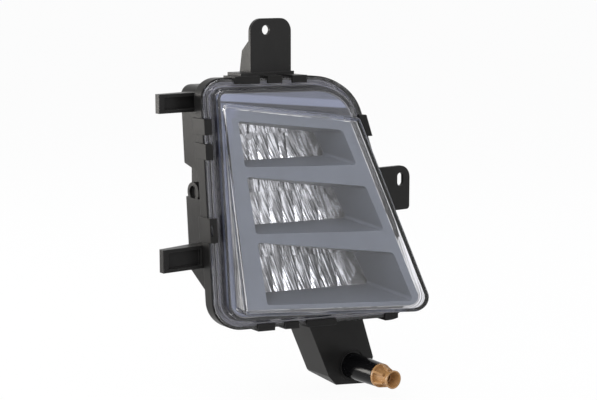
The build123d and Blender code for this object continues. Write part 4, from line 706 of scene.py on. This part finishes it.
class LAMP_OT_rear(bpy.types.Operator):
    """Finish the rear cover, its gasket and contacts, and the breather"""

    bl_idname = "lamp.rear"
    bl_label = "Rear cover"

    def execute(self, context):
        look = settings()
        cover_colour = shaded(look.housing_colour, COVER_TONE)
        black = moulded("cover black", cover_colour, roughness=0.45, grain_depth=0.00004)
        rubber = moulded("gasket black", look.rubber_colour, roughness=0.6, grain_depth=0.00005)
        brass = metal(
            "contact brass", look.contact_colour, roughness=0.25, mottle_width=0.002, mottle_depth=0.00001
        )
        paint(black, "rear_cover")
        paint(rubber, "rear_cover_gasket", "breather_cap")
        paint(brass, "connector_pins")
        return {"FINISHED"}


def softbox(name, place, target, power, width=LAMP_WIDTH, colour=WHITE[:3]):
    """Square area lamp that points at a place on the light."""
    lamp = bpy.data.lights.new(name, "AREA")
    lamp.shape = "RECTANGLE"
    lamp.size = width
    lamp.size_y = width
    lamp.energy = power
    lamp.color = colour
    holder = bpy.data.objects.new(name, lamp)
    holder.location = place
    holder.rotation_euler = (Vector(target) - Vector(place)).to_track_quat("-Z", "Y").to_euler()
    bpy.context.collection.objects.link(holder)


def white_to_camera(tree, plain, white, share):
    """Shader that is plain to light and, by a share, white to the camera, to mirrors and through glass."""
    path = tree.nodes.new("ShaderNodeLightPath")
    seen = path.outputs["Is Camera Ray"]
    for ray in ("Is Glossy Ray", "Is Transmission Ray"):
        most = tree.nodes.new("ShaderNodeMath")
        most.operation = "MAXIMUM"
        tree.links.new(seen, most.inputs[0])
        tree.links.new(path.outputs[ray], most.inputs[1])
        seen = most.outputs["Value"]
    part = tree.nodes.new("ShaderNodeMath")
    part.operation = "MULTIPLY"
    part.inputs[1].default_value = share
    tree.links.new(seen, part.inputs[0])
    mix = tree.nodes.new("ShaderNodeMixShader")
    for source, socket in zip((part.outputs["Value"], plain, white), mix.inputs):
        tree.links.new(source, socket)
    return mix.outputs["Shader"]


class LAMP_OT_stage(bpy.types.Operator):
    """Set up the floor, the white surround, the lamps and the camera"""

    bl_idname = "lamp.stage"
    bl_label = "Stage"

    def execute(self, context):
        stage = context.scene.lamp_stage
        low, high = Vector(CAD_BOX[0]), Vector(CAD_BOX[1])
        middle = (low + high) / 2
        self.floor(stage, (middle.x, middle.y, low.z - stage.floor_drop))
        self.surround(context.scene, stage)
        softbox("key", KEY_PLACE, middle, stage.key_power)
        softbox("side", SIDE_PLACE, middle, stage.side_power, SIDE_WIDTH, stage.side_colour)
        softbox("fill", FILL_PLACE, middle, stage.fill_power)
        softbox("top", TOP_PLACE, middle, stage.top_power)
        self.camera(context.scene, stage)
        context.scene.view_settings.view_transform = "Standard"
        return {"FINISHED"}

    def floor(self, stage, place):
        """Pale floor that keeps the light's shadow."""
        bpy.ops.mesh.primitive_plane_add(size=FLOOR_WIDTH, location=place)
        floor = bpy.context.object
        floor.name = "floor"
        finish = Finish("floor pale", Base_Color=opaque(stage.floor_colour), Roughness=FLOOR_ROUGHNESS)
        white = finish.nodes.new("ShaderNodeEmission")
        white.inputs["Color"].default_value = WHITE
        pale = finish.shader.outputs["BSDF"]
        finish.show(white_to_camera(finish.material.node_tree, pale, white.outputs["Emission"], FLOOR_WHITE))
        floor.data.materials.append(finish.material)

    def surround(self, scene, stage):
        """World that lights softly and is white where it is seen."""
        world = bpy.data.worlds.new("surround")
        world.use_nodes = True
        tree = world.node_tree
        soft = tree.nodes["Background"]
        soft.inputs["Color"].default_value = opaque(stage.surround_colour)
        soft.inputs["Strength"].default_value = SURROUND_STRENGTH
        white = tree.nodes.new("ShaderNodeBackground")
        white.inputs["Color"].default_value = WHITE
        shown = white_to_camera(tree, soft.outputs["Background"], white.outputs["Background"], 1.0)
        tree.links.new(shown, tree.nodes["World Output"].inputs["Surface"])
        scene.world = world

    def camera(self, scene, stage):
        """Camera at the photograph's angle."""
        lens = bpy.data.cameras.new("camera")
        lens.lens = stage.camera_lens
        lens.sensor_width = SENSOR_WIDTH
        lens.clip_start = NEAREST_SEEN
        camera = bpy.data.objects.new("camera", lens)
        camera.location = stage.camera_place
        camera.rotation_euler = (math.pi / 2 - stage.camera_elevation, 0.0, stage.camera_azimuth)
        scene.collection.objects.link(camera)
        scene.camera = camera


class LAMP_PT_panel(bpy.types.Panel):
    """Lists the light's settings and steps"""

    bl_label = "Driving Light"
    bl_idname = "LAMP_PT_panel"
    bl_space_type = "VIEW_3D"
    bl_region_type = "UI"
    bl_category = "Driving Light"

    def draw(self, context):
        for group in (context.scene.lamp_finish, context.scene.lamp_stage):
            for name in group.__annotations__:
                self.layout.prop(group, name)
        for step in STEPS:
            self.layout.operator(step.bl_idname)


STEPS = (
    LAMP_OT_housing,
    LAMP_OT_lens,
    LAMP_OT_bezel,
    LAMP_OT_reflectors,
    LAMP_OT_emitters,
    LAMP_OT_carrier,
    LAMP_OT_adjuster,
    LAMP_OT_rear,
    LAMP_OT_stage,
)
CLASSES = (FinishSettings, StageSettings, *STEPS, LAMP_PT_panel)


def register():
    """Adds the classes and the scene's settings."""
    for item in CLASSES:
        bpy.utils.register_class(item)
    bpy.types.Scene.lamp_finish = PointerProperty(type=FinishSettings)
    bpy.types.Scene.lamp_stage = PointerProperty(type=StageSettings)


def unregister():
    """Takes the classes and the scene's settings away."""
    del bpy.types.Scene.lamp_stage
    del bpy.types.Scene.lamp_finish
    for item in reversed(CLASSES):
        bpy.utils.unregister_class(item)


def main():
    """Runs every step in order."""
    register()
    for step in STEPS:
        space, name = step.bl_idname.split(".")
        getattr(getattr(bpy.ops, space), name)()


if __name__ == "__main__":
    main()
